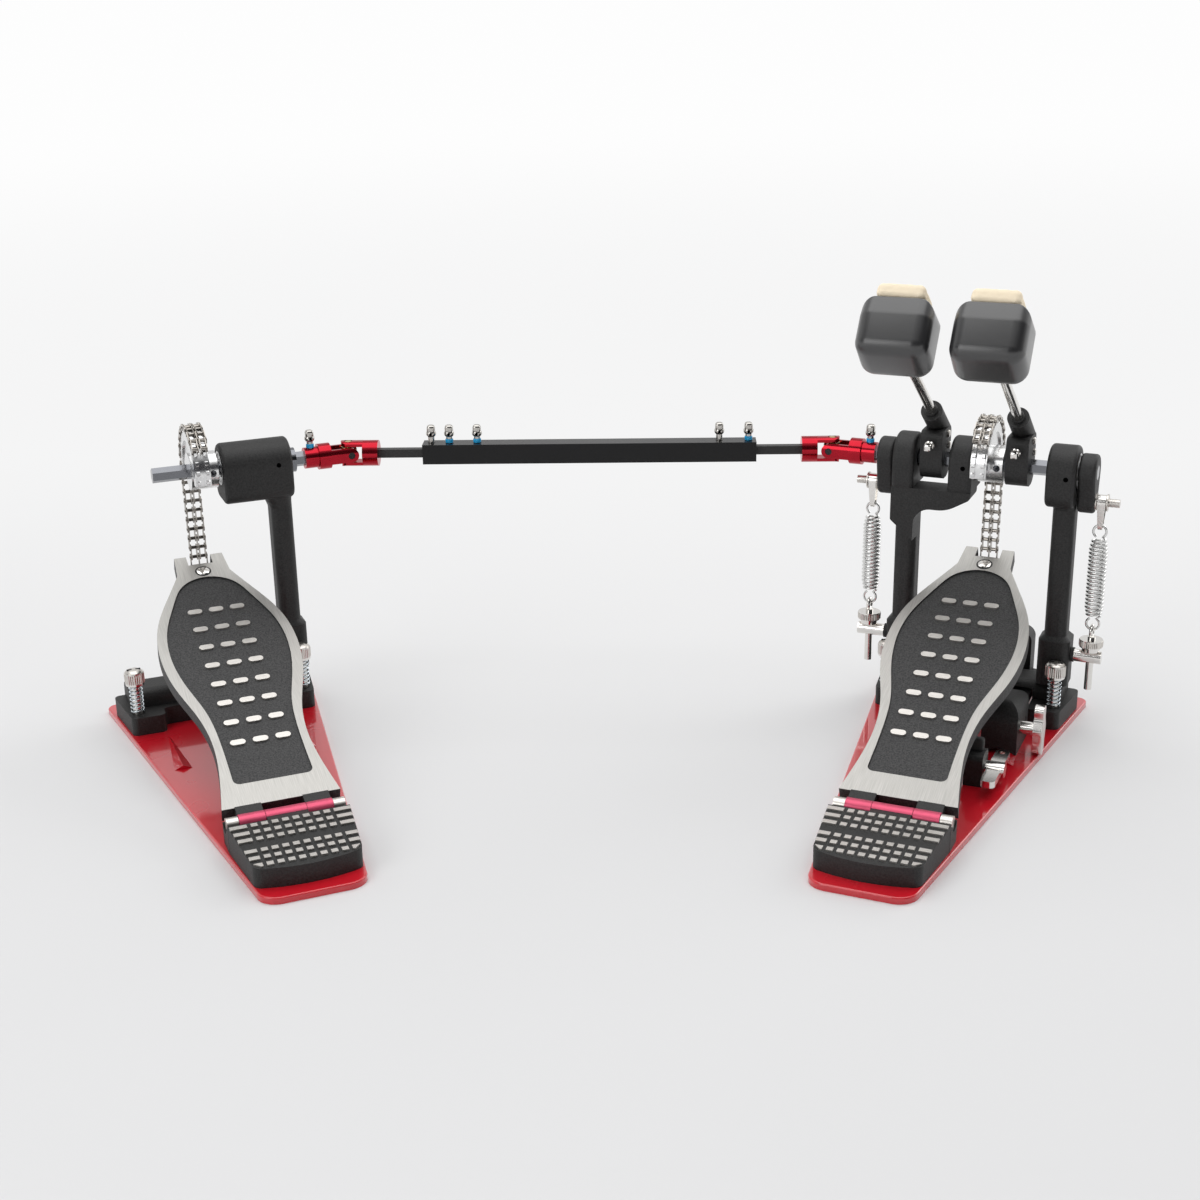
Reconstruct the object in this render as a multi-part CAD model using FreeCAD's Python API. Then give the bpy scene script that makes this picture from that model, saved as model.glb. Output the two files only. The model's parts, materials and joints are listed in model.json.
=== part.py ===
import FreeCAD, Part
import math
import os

V = FreeCAD.Vector

# A double bass drum pedal: two pedals side by side, joined by a telescopic drive shaft.
# Millimetres and degrees. Each pedal is drawn in its own frame: x along its axle, y from
# heel to drum, z up from the floor, with y = 0 under the axle and x = 0 in the chain's plane.

# Stance of the two pedals
AXLE_Z = 168.0
PRIMARY_YAW = -22.0
SECONDARY_YAW = 24.0
JOINT_SPAN = 317.0
PRIMARY_JOINT_X = -101.0
SECONDARY_JOINT_X = 100.0
RUN_FIT = 0.05
SEAT_GAP = 0.3
BOND_FIT = 0.02

# Base plates
BASE_T = 4.0
BASE_HEEL_Y = -274.0
BASE_TOE_Y = 35.0
BASE_HEEL_W = 58.0
BASE_TOE_W = 139.0
BASE_HEEL_R = 12.0
BASE_TOE_R = 6.0
RIB_X = 39.0
RIB_W = 11.0
RIB_TIP_Y = -31.0
RIB_END_Y = -89.0
RIB_H = 2.5

# Feet of the frames
FOOT_FRONT_Y = -26.0
FOOT_BACK_Y = 19.0
FOOT_LOW_Z = 16.0
FOOT_TOP_Z = 27.0
FOOT_BAR_Y = -8.0
FOOT_BLOCK_X = 38.0
FOOT_STEP_Y = -14.0
FOOT_INSET = 2.0
FOOT_R = 4.0
FOOT_BAR_R = 6.0

# Posts and bearing housings
PRIMARY_RIGHT_X = 50.5
PRIMARY_LEFT_X = -49.0
SECONDARY_POST_X = 52.0
PEDESTAL_W = 20.0
PEDESTAL_D = 22.0
PEDESTAL_TOP_Z = 57.0
POST_Y = 2.0
POST_W = 14.0
POST_D = 18.0
POST_R = 5.0
POST_BLEND = 3.0
HOUSING_R = 16.0
HOUSING_DROP = 22.0
HOUSING_EDGE = 2.5
NECK_INSET = 3.0
NECK_DROP = 5.0
NECK_STEPS = 6
RIGHT_HOUSING_X = (39.5, 57.5)
SECONDARY_HOUSING_X = (14.5, 59.5)
LEFT_EAR_X = (-57.0, -43.0)
INNER_EAR_X = (-21.0, -6.0)
FORK_FLOOR = 17.0
FORK_ARM = 13.0
FORK_SWEEP_R = 22.0
FORK_ROOT_R = 11.0
FORK_TIP_R = 4.0
FORK_BACK_Y = 4.0
FORK_EDGE_R = 2.0
FORK_INSET = 1.0
HOUSING_FILLET = 12.0

# Bearings and axles
BEARING_R = 11.0
BEARING_W = 6.4
SHIELD_IN_R = 6.0
SHIELD_OUT_R = 9.5
SHIELD_DEPTH = 0.6
JOURNAL_R = 4.0
HEX_FLATS = 8.5
HEX_FIT = 0.05
THROUGH_R = 6.0
AXLE_GAP = 0.8
STUB_X = -28.0
SHOULDER_R = 8.0
SHOULDER_T = 3.4
SHOULDER_GAP = 0.6

# Heel plates and hinges
HEEL_FRONT_Y = -259.0
HEEL_BULGE = 5.0
HEEL_REAR_Y = -213.0
HEEL_FRONT_W = 60.0
HEEL_REAR_W = 70.0
HEEL_FRONT_Z = 15.9
HEEL_REAR_Z = 20.5
HEEL_R = 6.0
HINGE_Y = -204.0
HINGE_Z = 17.0
KNUCKLE_R = 5.0
KNUCKLE_MID_X = 11.7
KNUCKLE_OUT_X = 27.0
KNUCKLE_GAP = 0.3
LEAF_T = 6.0
HINGE_PIN_R = 2.4
PIN_END_R = 4.4
PIN_END_X = 34.0
LEDGE_BACK_Y = -198.5

# Footboards, drawn flat: l along the board from its heel edge, d above its top face
BOARD_SLOPE = 19.7
BOARD_HEEL_Y = -195.0
BOARD_HEEL_Z = 22.6
BOARD_L = 237.0
BOARD_T = 8.5
BOARD_EDGE = [(34.3, 0.0), (30.2, 24.0), (28.0, 52.0), (31.5, 80.0), (39.3, 108.0), (42.8, 138.0),
              (39.0, 168.0), (28.0, 195.0), (17.2, 218.0)]
TOE_W = 31.6
PANEL_EDGE = [(23.3, 22.0), (23.5, 58.0), (25.8, 82.0), (32.4, 108.0), (36.6, 138.0), (33.3, 166.0),
              (24.6, 190.0), (15.5, 207.0)]
PANEL_TOP_L = 213.5
PANEL_CORNER_R = 4.0
PANEL_DEPTH = 1.2
BOARD_WEB = 5.3
NOTCH_W = 16.0
NOTCH_L = 9.3
TOE_PIN_INSET = 4.2
TOE_PIN_D = -4.4
TOE_PIN_R = 1.6
TOE_PIN_X = 10.2
TOE_PIN_ROOM = 1.3
TOE_PIN_BACK = 0.95

# Chain and sprocket
PITCH = 6.35
TEETH = 28
WRAP_LINKS = 9
WRAP_START = 22.0
RUN_LINKS = 11
LINK_H = 5.2
LINK_WAIST = 4.0
ROLLER_R = 1.65
CHAIN_PIN_R = 1.1
PLATE_T = 0.8
INNER_ROWS = (1.3, 4.5)
OUTER_ROWS = (0.0, 5.7)
STRAND_X = 2.9
DISC_T = 2.0
SPROCKET_W = 10.0
ROOT_GAP = 0.3
TOOTH_H = 1.6
TOOTH_ROOT_DEG = 3.2
TOOTH_TIP_DEG = 1.6
RIM_T = 5.5
WEB_T = 4.0
SPROCKET_HUB_R = 12.0
SPROCKET_SKIRT = 4.0
SPROCKET_HUB_X = 12.2
SET_SCREW_R = 2.2

# Beaters
BEATER_LEAN = 56.0
ROD_RISE = 24.2
LEFT_HUB_X = -33.0
RIGHT_HUB_X = 20.8
HUB_W = 14.0
HUB_D = 24.0
HUB_TOP = 20.0
HUB_BOTTOM = 12.0
HUB_R = 10.0
HUB_TOP_R = 4.0
SOCKET_R = 6.8
SOCKET_FOOT = -15.0
SOCKET_TOP = 18.0
SOCKET_FLOOR = 2.0
SHAFT_R = 3.1
SHAFT_FOOT = -12.0
SHAFT_IN_HEAD = 12.0
HEAD_L = 130.0
HEAD_W = 42.5
HEAD_D = 40.0
HEAD_H = 34.0
HEAD_STRIP = 11.0
HEAD_SLOPE = 3.0
HEAD_TAPER = 6.0
HEAD_R = 9.0
HEAD_TOP_R = 11.0
HEAD_REAR_R = 4.0
HEAD_CREASE_R = 8.0
FELT_T = 9.0
FELT_W = 28.0
FELT_H = 26.0
FELT_R = 6.0

# Rockers and return springs
ROCKER_W = 10.6
ROCKER_GAP = 0.8
ROCKER_R = 11.5
ROCKER_ARM = 18.5
ROCKER_TIP_R = 7.5
ROCKER_EDGE = 2.0
ROCKER_PIN_R = 2.6
ROCKER_PIN_OUT = 14.5
COLLAR_R = 5.4
COLLAR_T = 0.9
CLIP_W = 5.0
CLIP_FOOT_W = 2.6
CLIP_T = 1.3
CLIP_ROOM = 0.9
CLIP_LENGTH = 18.0
CLIP_FOOT_R = 2.0
SPRING_R = 5.2
WIRE_R = 0.8
SPRING_TURNS = 20
SPRING_PITCH = 2.3
HOOK_R = 4.0
HOOK_LEAD = 3.5
HOOK_REST = 0.75
EYE_R = 3.5
EYE_WIRE_R = 1.3
ROD_R = 2.4
ROD_TAIL = 22.0
NUT_R = 7.2
NUT_H = 5.0
NUT_NECK_R = 5.5
NUT_NECK_H = 3.0
BAR_R = 4.1
BAR_OUT = 7.0
BAR_Z = 47.0
BAR_PIN_R = 3.0
BAR_PIN_L = 9.0

# Spurs in the feet
SPUR_X = 54.5
SPUR_Y = -17.0
SPUR_R = 3.0
SPUR_TIP_Z = 0.8
SPUR_POINT_H = 3.0
SPUR_HEAD_R = 6.0
SPUR_HEAD_H = 8.5
SPUR_TOP_Z = 45.0
SPUR_SPRING_R = 4.0
SPUR_WIRE_R = 0.5
SPUR_TURNS = 6

# Universal joints and drive shaft
EAR_R = 4.8
EAR_IN = 5.2
EAR_OUT = 8.3
CROSS_HALF = 4.4
CROSS_PIN_R = 2.2
CROSS_PIN_L = 8.0
OPEN_PIVOT = 0.5
YOKE_R = 8.5
YOKE_NECK = 13.0
YOKE_RING = 8.0
YOKE_HUB_R = 6.9
YOKE_HUB = 9.0
SHAFT_YOKE_NECK = 10.0
SHAFT_YOKE_L = 10.0
ROD_SQ = 5.5
ROD_FIT = 0.1
ROD_IN_TUBE = 60.0
TUBE_SQ = 13.0
TUBE_L = 218.0
KEY_SCREWS_FROM_LEFT = (5.5, 17.3, 35.6)
KEY_SCREWS_FROM_RIGHT = (24.0, 5.0)
KEY_SCREW_R = 2.4
KEY_HEAD_R = 3.2
KEY_HEAD_H = 5.0
KEY_SQ = 4.4
KEY_SQ_H = 6.0

# Hoop clamp, key clip and drum key
CLAMP_X = (21.0, 43.0)
CLAMP_Y = (-74.0, -40.0)
CLAMP_TOP_Z = 36.0
CLAMP_R = 6.0
CLAMP_SHOULDER_R = 8.0
ARCH_R = 8.0
ARCH_DEPTH = 8.0
ARCH_DROP = 4.5
JAW_X = (24.0, 38.0)
JAW_Z = (14.0, 20.0)
JAW_TAIL_Y = -61.0
JAW_PIVOT_Y = -48.0
JAW_PIN_R = 3.0
JAW_PAD_X = (10.0, 50.0)
JAW_PAD_GAP = 2.0
JAW_PAD_R = 3.0
CLAW_X = (10.0, 32.0)
CLAW_TOP_Z = 50.5
CLAW_R = 7.0
JAW_ROOM = 1.5
JAW_DROP = 8.0
TUNNEL_Z = 23.0
WING_Y = -66.0
WING_GAP = 0.5
WING_SHANK_R = 4.0
WING_SHANK_L = 9.0
WING_IN = 4.0
WING_SPAN = 16.0
WING_TIP = 4.6
WING_TIP_R = 3.6
WING_WAIST = 4.1
WING_WAIST_R = 8.0
WING_MIDDLE = 7.4
WING_MIDDLE_R = 5.0
WING_T = 5.5
CLIP_BLOCK_X = (22.0, 33.0)
CLIP_BLOCK_Y = (-126.0, -110.0)
CLIP_BLOCK_Z = 24.0
CLIP_BLOCK_R = 4.0
KEY_Z = 14.0
KEY_R = 4.5
KEY_X = (17.0, 45.0)
KEY_BAR_L = 48.0
KEY_BAR_X = (35.0, 43.5)
KEY_BAR_T = 4.0
KEY_BAR_R = 3.0
KEY_HOLE_R = 1.8
KEY_SOCKET = 5.2

# Values worked out from the driving dimensions
TOE_PIN_L = BOARD_L - TOE_PIN_INSET
PITCH_R = PITCH / (2.0 * math.sin(math.pi / TEETH))
TOOTH_DEG = 360.0 / TEETH
ROOT_R = PITCH_R - ROLLER_R - ROOT_GAP
CORE_R = PITCH_R - LINK_H / 2.0 - ROOT_GAP
PIN_Z = AXLE_Z - ROCKER_ARM
HEX_R = HEX_FLATS / math.sqrt(3.0)
KEY_SCREWS_X = ([inset - TUBE_L / 2 for inset in KEY_SCREWS_FROM_LEFT]
                + [TUBE_L / 2 - inset for inset in KEY_SCREWS_FROM_RIGHT])
CLIP_TOP_R = ROCKER_PIN_R + CLIP_ROOM
CLIP_FOOT_Z = PIN_Z - CLIP_LENGTH + CLIP_TOP_R
HOOK_TOP_Z = CLIP_FOOT_Z - CLIP_FOOT_R + HOOK_REST + WIRE_R
COIL_TOP_Z = HOOK_TOP_Z - 2.0 * HOOK_R - HOOK_LEAD
COIL_BOTTOM_Z = COIL_TOP_Z - SPRING_TURNS * SPRING_PITCH
HOOK_BOTTOM_Z = COIL_BOTTOM_Z - HOOK_LEAD - 2.0 * HOOK_R
EYE_Z = HOOK_BOTTOM_Z - EYE_R + EYE_WIRE_R + WIRE_R + SEAT_GAP
BASE_MID_Y = (BASE_HEEL_Y + BASE_TOE_Y) / 2.0
RIGHT_ROCKER_X = RIGHT_HOUSING_X[1] + ROCKER_GAP
LEFT_ROCKER_X = LEFT_EAR_X[0] - ROCKER_GAP - ROCKER_W
PIN_CLEAR = 0.4
RIGHT_SPRING_X = RIGHT_ROCKER_X + ROCKER_W + COLLAR_T + PIN_CLEAR + CLIP_W / 2.0
LEFT_SPRING_X = LEFT_ROCKER_X - COLLAR_T - PIN_CLEAR - CLIP_W / 2.0
WING_Z = BASE_T + WING_GAP + WING_SPAN

nodes = {}


# Where each pedal stands

def turned(yaw, x, y):
    angle = math.radians(yaw)
    return V(x * math.cos(angle) - y * math.sin(angle), x * math.sin(angle) + y * math.cos(angle), 0)


PRIMARY_AT = turned(PRIMARY_YAW, 0, BASE_MID_Y).multiply(-1)
PRIMARY_JOINT = PRIMARY_AT + turned(PRIMARY_YAW, PRIMARY_JOINT_X, 0) + V(0, 0, AXLE_Z)
SECONDARY_JOINT = PRIMARY_JOINT - V(JOINT_SPAN, 0, 0)
SECONDARY_AT = SECONDARY_JOINT - V(0, 0, AXLE_Z) - turned(SECONDARY_YAW, SECONDARY_JOINT_X, 0)
UP = V(0, 0, 1)
PRIMARY = FreeCAD.Placement(PRIMARY_AT, FreeCAD.Rotation(UP, PRIMARY_YAW))
SECONDARY = FreeCAD.Placement(SECONDARY_AT, FreeCAD.Rotation(UP, SECONDARY_YAW))
SHAFT = FreeCAD.Placement(PRIMARY_JOINT - V(JOINT_SPAN / 2.0, 0, 0), FreeCAD.Rotation())


def put(name, place, *shapes):
    placed = []
    for shape in shapes:
        copy = shape.copy()
        copy.Placement = place.multiply(copy.Placement)
        placed.append(copy)
    nodes.setdefault(name, []).extend(placed)


# Simple solids

def block(x0, x1, y0, y1, z0, z1):
    return Part.makeBox(x1 - x0, y1 - y0, z1 - z0, V(x0, y0, z0))


def rod_x(radius, x0, x1, y=0.0, z=0.0):
    return Part.makeCylinder(radius, x1 - x0, V(x0, y, z), V(1, 0, 0))


def rod_y(radius, y0, y1, x=0.0, z=0.0):
    return Part.makeCylinder(radius, y1 - y0, V(x, y0, z), V(0, 1, 0))


def rod_z(radius, z0, z1, x=0.0, y=0.0):
    return Part.makeCylinder(radius, z1 - z0, V(x, y, z0), UP)


def hex_x(flats, x0, x1):
    radius = flats / math.sqrt(3.0)
    corners = [V(x0, radius * math.sin(math.radians(60 * i)), radius * math.cos(math.radians(60 * i)))
               for i in range(7)]
    return Part.Face(Part.makePolygon(corners)).extrude(V(x1 - x0, 0, 0))


def mapped(axis, along):
    """Turns flat points (a, b) into space: (y, z) for axis x, (x, z) for y, (x, y) for z."""
    ways = {"x": lambda a, b: V(along, a, b), "y": lambda a, b: V(a, along, b),
            "z": lambda a, b: V(a, b, along)}
    return ways[axis]


def corner_arc(before, at, after, radius):
    """Start, middle and end of the arc that rounds one corner."""
    u = (before - at).normalize()
    w = (after - at).normalize()
    half = u.getAngle(w) / 2.0
    back = radius / math.tan(half)
    centre = at + (u + w).normalize() * (radius / math.sin(half))
    middle = centre + (at - centre).normalize() * radius
    return at + u * back, middle, at + w * back


def outline(points, radii, axis, along):
    """A closed wire through flat corners, each rounded by its radius (0 keeps it sharp)."""
    place = mapped(axis, along)
    corners = [place(a, b) for a, b in points]
    if not isinstance(radii, (list, tuple)):
        radii = [radii] * len(corners)
    edges = []
    arcs = []
    for i, at in enumerate(corners):
        if radii[i] > 0:
            arcs.append(corner_arc(corners[i - 1], at, corners[(i + 1) % len(corners)], radii[i]))
        else:
            arcs.append((at, None, at))
    for i, (start, middle, end) in enumerate(arcs):
        if middle is not None:
            edges.append(Part.Arc(start, middle, end).toShape())
        after = arcs[(i + 1) % len(arcs)][0]
        if (after - end).Length > 1e-6:
            edges.append(Part.makeLine(end, after))
    return Part.Wire(edges)


def prism(points, radii, axis, start, end):
    wire = outline(points, radii, axis, start)
    direction = {"x": V(1, 0, 0), "y": V(0, 1, 0), "z": UP}[axis]
    return Part.Face(wire).extrude(direction * (end - start))


def rectangle(a0, a1, b0, b1):
    return [(a0, b0), (a1, b0), (a1, b1), (a0, b1)]


def fuse(*shapes):
    return shapes[0].multiFuse(list(shapes[1:])).removeSplitter()


def lifted(shape, z):
    copy = shape.copy()
    copy.translate(V(0, 0, z))
    return copy


# Wire forms: every bend is a pair of arcs that share a tangent

def arc_from(start, control, end):
    chord = end - start
    bow = control - (start + end) * 0.5
    if bow.Length < 1e-6:
        return Part.makeLine(start, end)
    lean = (control - start).getAngle(chord)
    middle = (start + end) * 0.5 + bow.normalize() * (chord.Length / 2.0 * math.tan(lean / 2.0))
    return Part.Arc(start, middle, end).toShape()


def biarc(start, start_dir, end, end_dir):
    chord = end - start
    both = start_dir + end_dir
    across = chord.dot(both)
    short = 4.0 - both.dot(both)
    if short < 1e-9:
        reach = chord.dot(chord) / (2.0 * across)
    else:
        reach = (math.sqrt(across * across + short * chord.dot(chord)) - across) / short
    first = start + start_dir * reach
    second = end - end_dir * reach
    joint = (first + second) * 0.5
    return [arc_from(start, first, joint), arc_from(joint, second, end)]


def wire_tube(stations, radius):
    """One unbroken tube through points with directions."""
    edges = []
    for (start, start_dir), (end, end_dir) in zip(stations, stations[1:]):
        edges.extend(biarc(start, start_dir, end, end_dir))
    path = Part.Wire(edges)
    first, direction = stations[0]
    profile = Part.Wire([Part.Circle(first, direction, radius).toShape()])
    return path.makePipeShell([profile], True, False), path


def self_gap(path, wire_radius, apart):
    """Least free space between stretches of one wire that lie further apart along it than given."""
    step = wire_radius
    points = path.discretize(Distance=step)
    skip = int(apart / step)
    least = min((points[i] - points[j]).Length for i in range(0, len(points), 3)
                for j in range(i + skip, min(len(points), i + 8 * skip), 2))
    return least - 2.0 * wire_radius


def coil_stations(radius, pitch, turns, z, start_deg=0.0):
    stations = []
    for i in range(4 * turns + 1):
        angle = math.radians(start_deg + 90.0 * i)
        at = V(radius * math.cos(angle), radius * math.sin(angle), z + pitch * i / 4.0)
        along = V(-radius * math.sin(angle), radius * math.cos(angle), pitch / (2.0 * math.pi)).normalize()
        stations.append((at, along))
    return stations


# Base plate

def base_half(y):
    share = (y - BASE_HEEL_Y) / (BASE_TOE_Y - BASE_HEEL_Y)
    return (BASE_HEEL_W + (BASE_TOE_W - BASE_HEEL_W) * share) / 2.0


def base_rib(side):
    """A wedge that rises from its tip towards the heel."""
    tip = V(side * RIB_X, RIB_TIP_Y, BASE_T)
    ends = [V(side * RIB_X + w, RIB_END_Y, BASE_T) for w in (-RIB_W / 2, RIB_W / 2)]
    ridge = V(side * RIB_X, RIB_END_Y, BASE_T + RIB_H)
    faces = [(tip, ends[0], ridge), (tip, ridge, ends[1]), (tip, ends[1], ends[0]), (ends[0], ends[1], ridge)]
    rib = Part.Solid(Part.Shell([Part.Face(Part.makePolygon([a, b, c, a])) for a, b, c in faces]))
    if rib.Volume < 0:
        rib.reverse()
    return rib


def base_plate():
    corners = [(-BASE_HEEL_W / 2, BASE_HEEL_Y), (BASE_HEEL_W / 2, BASE_HEEL_Y),
               (BASE_TOE_W / 2, BASE_TOE_Y), (-BASE_TOE_W / 2, BASE_TOE_Y)]
    plate = prism(corners, [BASE_HEEL_R, BASE_HEEL_R, BASE_TOE_R, BASE_TOE_R], "z", 0, BASE_T)
    top = plate.Faces[0]
    for face in plate.Faces:
        if face.CenterOfMass.z > top.CenterOfMass.z:
            top = face
    plate = plate.makeFillet(BASE_T / 4.0, top.Edges)
    holes = [rod_z(SPUR_R + SEAT_GAP, -1, BASE_T + 1, side * SPUR_X, SPUR_Y) for side in (-1, 1)]
    return fuse(plate, base_rib(-1), base_rib(1)).cut(Part.makeCompound(holes))


# Foot casting across the base plate

def foot(with_tunnel):
    def edge(y):
        return base_half(y) - FOOT_INSET
    plan = [(-edge(FOOT_FRONT_Y), FOOT_FRONT_Y), (-FOOT_BLOCK_X, FOOT_FRONT_Y), (-FOOT_BLOCK_X, FOOT_STEP_Y),
            (FOOT_BLOCK_X, FOOT_STEP_Y), (FOOT_BLOCK_X, FOOT_FRONT_Y), (edge(FOOT_FRONT_Y), FOOT_FRONT_Y),
            (edge(FOOT_BACK_Y), FOOT_BACK_Y), (-edge(FOOT_BACK_Y), FOOT_BACK_Y)]
    low = prism(plan, FOOT_R, "z", BASE_T, FOOT_LOW_Z)
    profile = rectangle(FOOT_BAR_Y, FOOT_BACK_Y, BASE_T, FOOT_TOP_Z)
    half = edge(FOOT_BAR_Y) - FOOT_R
    bar = prism(profile, [0, 0, FOOT_BAR_R, FOOT_BAR_R], "x", -half, half)
    body = fuse(low, bar)
    cuts = [rod_z(SPUR_R + SEAT_GAP, BASE_T - 1, FOOT_TOP_Z + 1, side * SPUR_X, SPUR_Y) for side in (-1, 1)]
    if with_tunnel:
        cuts.append(block(JAW_X[0] - JAW_ROOM, JAW_X[1] + JAW_ROOM, FOOT_FRONT_Y - 1, FOOT_BACK_Y + 1,
                          BASE_T - 1, TUNNEL_Z))
    return body.cut(Part.makeCompound(cuts))


# Posts with their bearing housings

def column(x, top):
    def section(width, depth, z):
        corners = rectangle(x - width / 2, x + width / 2, POST_Y - depth / 2, POST_Y + depth / 2)
        return outline(corners, POST_R, "z", z)
    wires = [section(PEDESTAL_W, PEDESTAL_D, FOOT_TOP_Z), section(PEDESTAL_W, PEDESTAL_D, PEDESTAL_TOP_Z),
             section(POST_W, POST_D, PEDESTAL_TOP_Z + POST_BLEND), section(POST_W, POST_D, top)]
    return Part.makeLoft(wires, True, True)


def housing(x0, x1):
    """A rounded barrel round the axle, with a square lower half."""
    profile = [(-HOUSING_R, AXLE_Z - HOUSING_DROP), (HOUSING_R, AXLE_Z - HOUSING_DROP),
               (HOUSING_R, AXLE_Z + HOUSING_R), (-HOUSING_R, AXLE_Z + HOUSING_R)]
    return prism(profile, [HOUSING_R / 2, HOUSING_R / 2, HOUSING_R - 0.1, HOUSING_R - 0.1], "x", x0, x1)


def neck(span, x, drop):
    """Draws a housing's underside in to the post below it, in a hollow curve."""
    top = AXLE_Z - HOUSING_DROP + HOUSING_EDGE
    wide = (span[0] + SEAT_GAP, span[1] - SEAT_GAP, NECK_INSET - HOUSING_R, HOUSING_R - NECK_INSET)
    slim = (x - POST_W / 2 + SEAT_GAP, x + POST_W / 2 - SEAT_GAP,
            POST_Y - POST_D / 2 + SEAT_GAP, POST_Y + POST_D / 2 - SEAT_GAP)
    wires = []
    for i in range(NECK_STEPS + 1):
        turn = math.radians(90.0 * i / NECK_STEPS)
        sides = [a + (b - a) * math.sin(turn) for a, b in zip(wide, slim)]
        level = top - (drop + HOUSING_EDGE) * (1.0 - math.cos(turn))
        wires.append(outline(rectangle(*sides), POST_R, "z", level))
    return Part.makeLoft(wires, True, True)


def softened(shape, x_faces, radius):
    """Rounds the rims of the faces that lie at the given x."""
    edges = []
    for face in shape.Faces:
        low, high = face.BoundBox.XMin, face.BoundBox.XMax
        if high - low < 1e-6 and any(abs(low - x) < 1e-6 for x in x_faces):
            edges.extend(face.OuterWire.Edges)
    return shape.makeFillet(radius, edges)


def seats(x0, x1, at_low, at_high):
    """The through hole of a housing and a bearing seat at the ends that have one."""
    tools = [rod_x(THROUGH_R, x0 - 1, x1 + 1, 0, AXLE_Z)]
    if at_low:
        tools.append(rod_x(BEARING_R + BOND_FIT, x0 - 1, x0 + BEARING_W, 0, AXLE_Z))
    if at_high:
        tools.append(rod_x(BEARING_R + BOND_FIT, x1 - BEARING_W, x1 + 1, 0, AXLE_Z))
    return tools


def bar_seat(x, side):
    inner = x + side * (PEDESTAL_W / 2 - BAR_PIN_L)
    outer = x + side * (PEDESTAL_W / 2 + 1)
    return rod_x(BAR_PIN_R + RUN_FIT, min(inner, outer), max(inner, outer), 0, BAR_Z)


def right_post():
    x0, x1 = RIGHT_HOUSING_X
    body = fuse(column(PRIMARY_RIGHT_X, AXLE_Z), softened(housing(x0, x1), (x0, x1), HOUSING_EDGE),
                neck(RIGHT_HOUSING_X, PRIMARY_RIGHT_X, NECK_DROP))
    return body.cut(Part.makeCompound(seats(x0, x1, False, True) + [bar_seat(PRIMARY_RIGHT_X, 1)]))


def secondary_post():
    x0, x1 = SECONDARY_HOUSING_X
    fillet_x = SECONDARY_POST_X - POST_W / 2 - HOUSING_FILLET
    barrel = softened(housing(x0, x1), (x0, x1), HOUSING_EDGE)
    under = neck((fillet_x, x1), SECONDARY_POST_X, HOUSING_FILLET)
    body = fuse(column(SECONDARY_POST_X, AXLE_Z), barrel, under)
    return body.cut(Part.makeCompound(seats(x0, x1, True, True)))


def left_post():
    floor = AXLE_Z - FORK_FLOOR
    low = floor - FORK_ARM
    post_in = PRIMARY_LEFT_X + POST_W / 2
    arm = [(LEFT_EAR_X[0], floor - HOUSING_DROP), (LEFT_EAR_X[0], floor), (INNER_EAR_X[1], floor),
           (INNER_EAR_X[1], floor - FORK_ARM / 3), (INNER_EAR_X[0], low), (post_in, low),
           (post_in, floor - HOUSING_DROP - FORK_ARM)]
    radii = [FORK_EDGE_R, 0, 0, FORK_TIP_R, FORK_SWEEP_R, FORK_ROOT_R, 0]
    web = prism(arm, radii, "y", -HOUSING_R + FORK_INSET, FORK_BACK_Y)
    ears = [housing(*LEFT_EAR_X), housing(*INNER_EAR_X)]
    ears = [softened(ear, span, HOUSING_EDGE) for ear, span in zip(ears, (LEFT_EAR_X, INNER_EAR_X))]
    under = prism([(LEFT_EAR_X[0] - 1, floor - 0.1), (INNER_EAR_X[1] + 1, floor - 0.1),
                   (INNER_EAR_X[1] + 1, 0), (LEFT_EAR_X[0] - 1, 0)], 0, "y", -HOUSING_R - 1, HOUSING_R + 1)
    body = fuse(column(PRIMARY_LEFT_X, floor - FORK_ARM / 2), web, *[ear.cut(under) for ear in ears])
    tools = seats(*LEFT_EAR_X, True, False) + seats(*INNER_EAR_X, True, True)
    return body.cut(Part.makeCompound(tools + [bar_seat(PRIMARY_LEFT_X, -1)]))


# Bearings and axles

def bearing(x0):
    ring = rod_x(BEARING_R, x0, x0 + BEARING_W).cut(rod_x(JOURNAL_R + RUN_FIT, x0 - 1, x0 + BEARING_W + 1))
    for face in (x0 - SHIELD_DEPTH, x0 + BEARING_W - SHIELD_DEPTH):
        groove = rod_x(SHIELD_OUT_R, face, face + 2 * SHIELD_DEPTH)
        ring = ring.cut(groove.cut(rod_x(SHIELD_IN_R, face, face + 2 * SHIELD_DEPTH)))
    return lifted(ring, AXLE_Z)


def axle(x0, x1, journals):
    """A hexagon bar, turned round where it runs in a bearing."""
    bar = hex_x(HEX_FLATS, x0, x1)
    for a, b in journals:
        bar = bar.cut(rod_x(HEX_R + 1, a, b).cut(rod_x(JOURNAL_R, a, b)))
    return lifted(bar, AXLE_Z)


def journal_at(x0):
    return (x0 - SEAT_GAP, x0 + BEARING_W + SEAT_GAP)


# Heel plate and hinge

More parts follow.
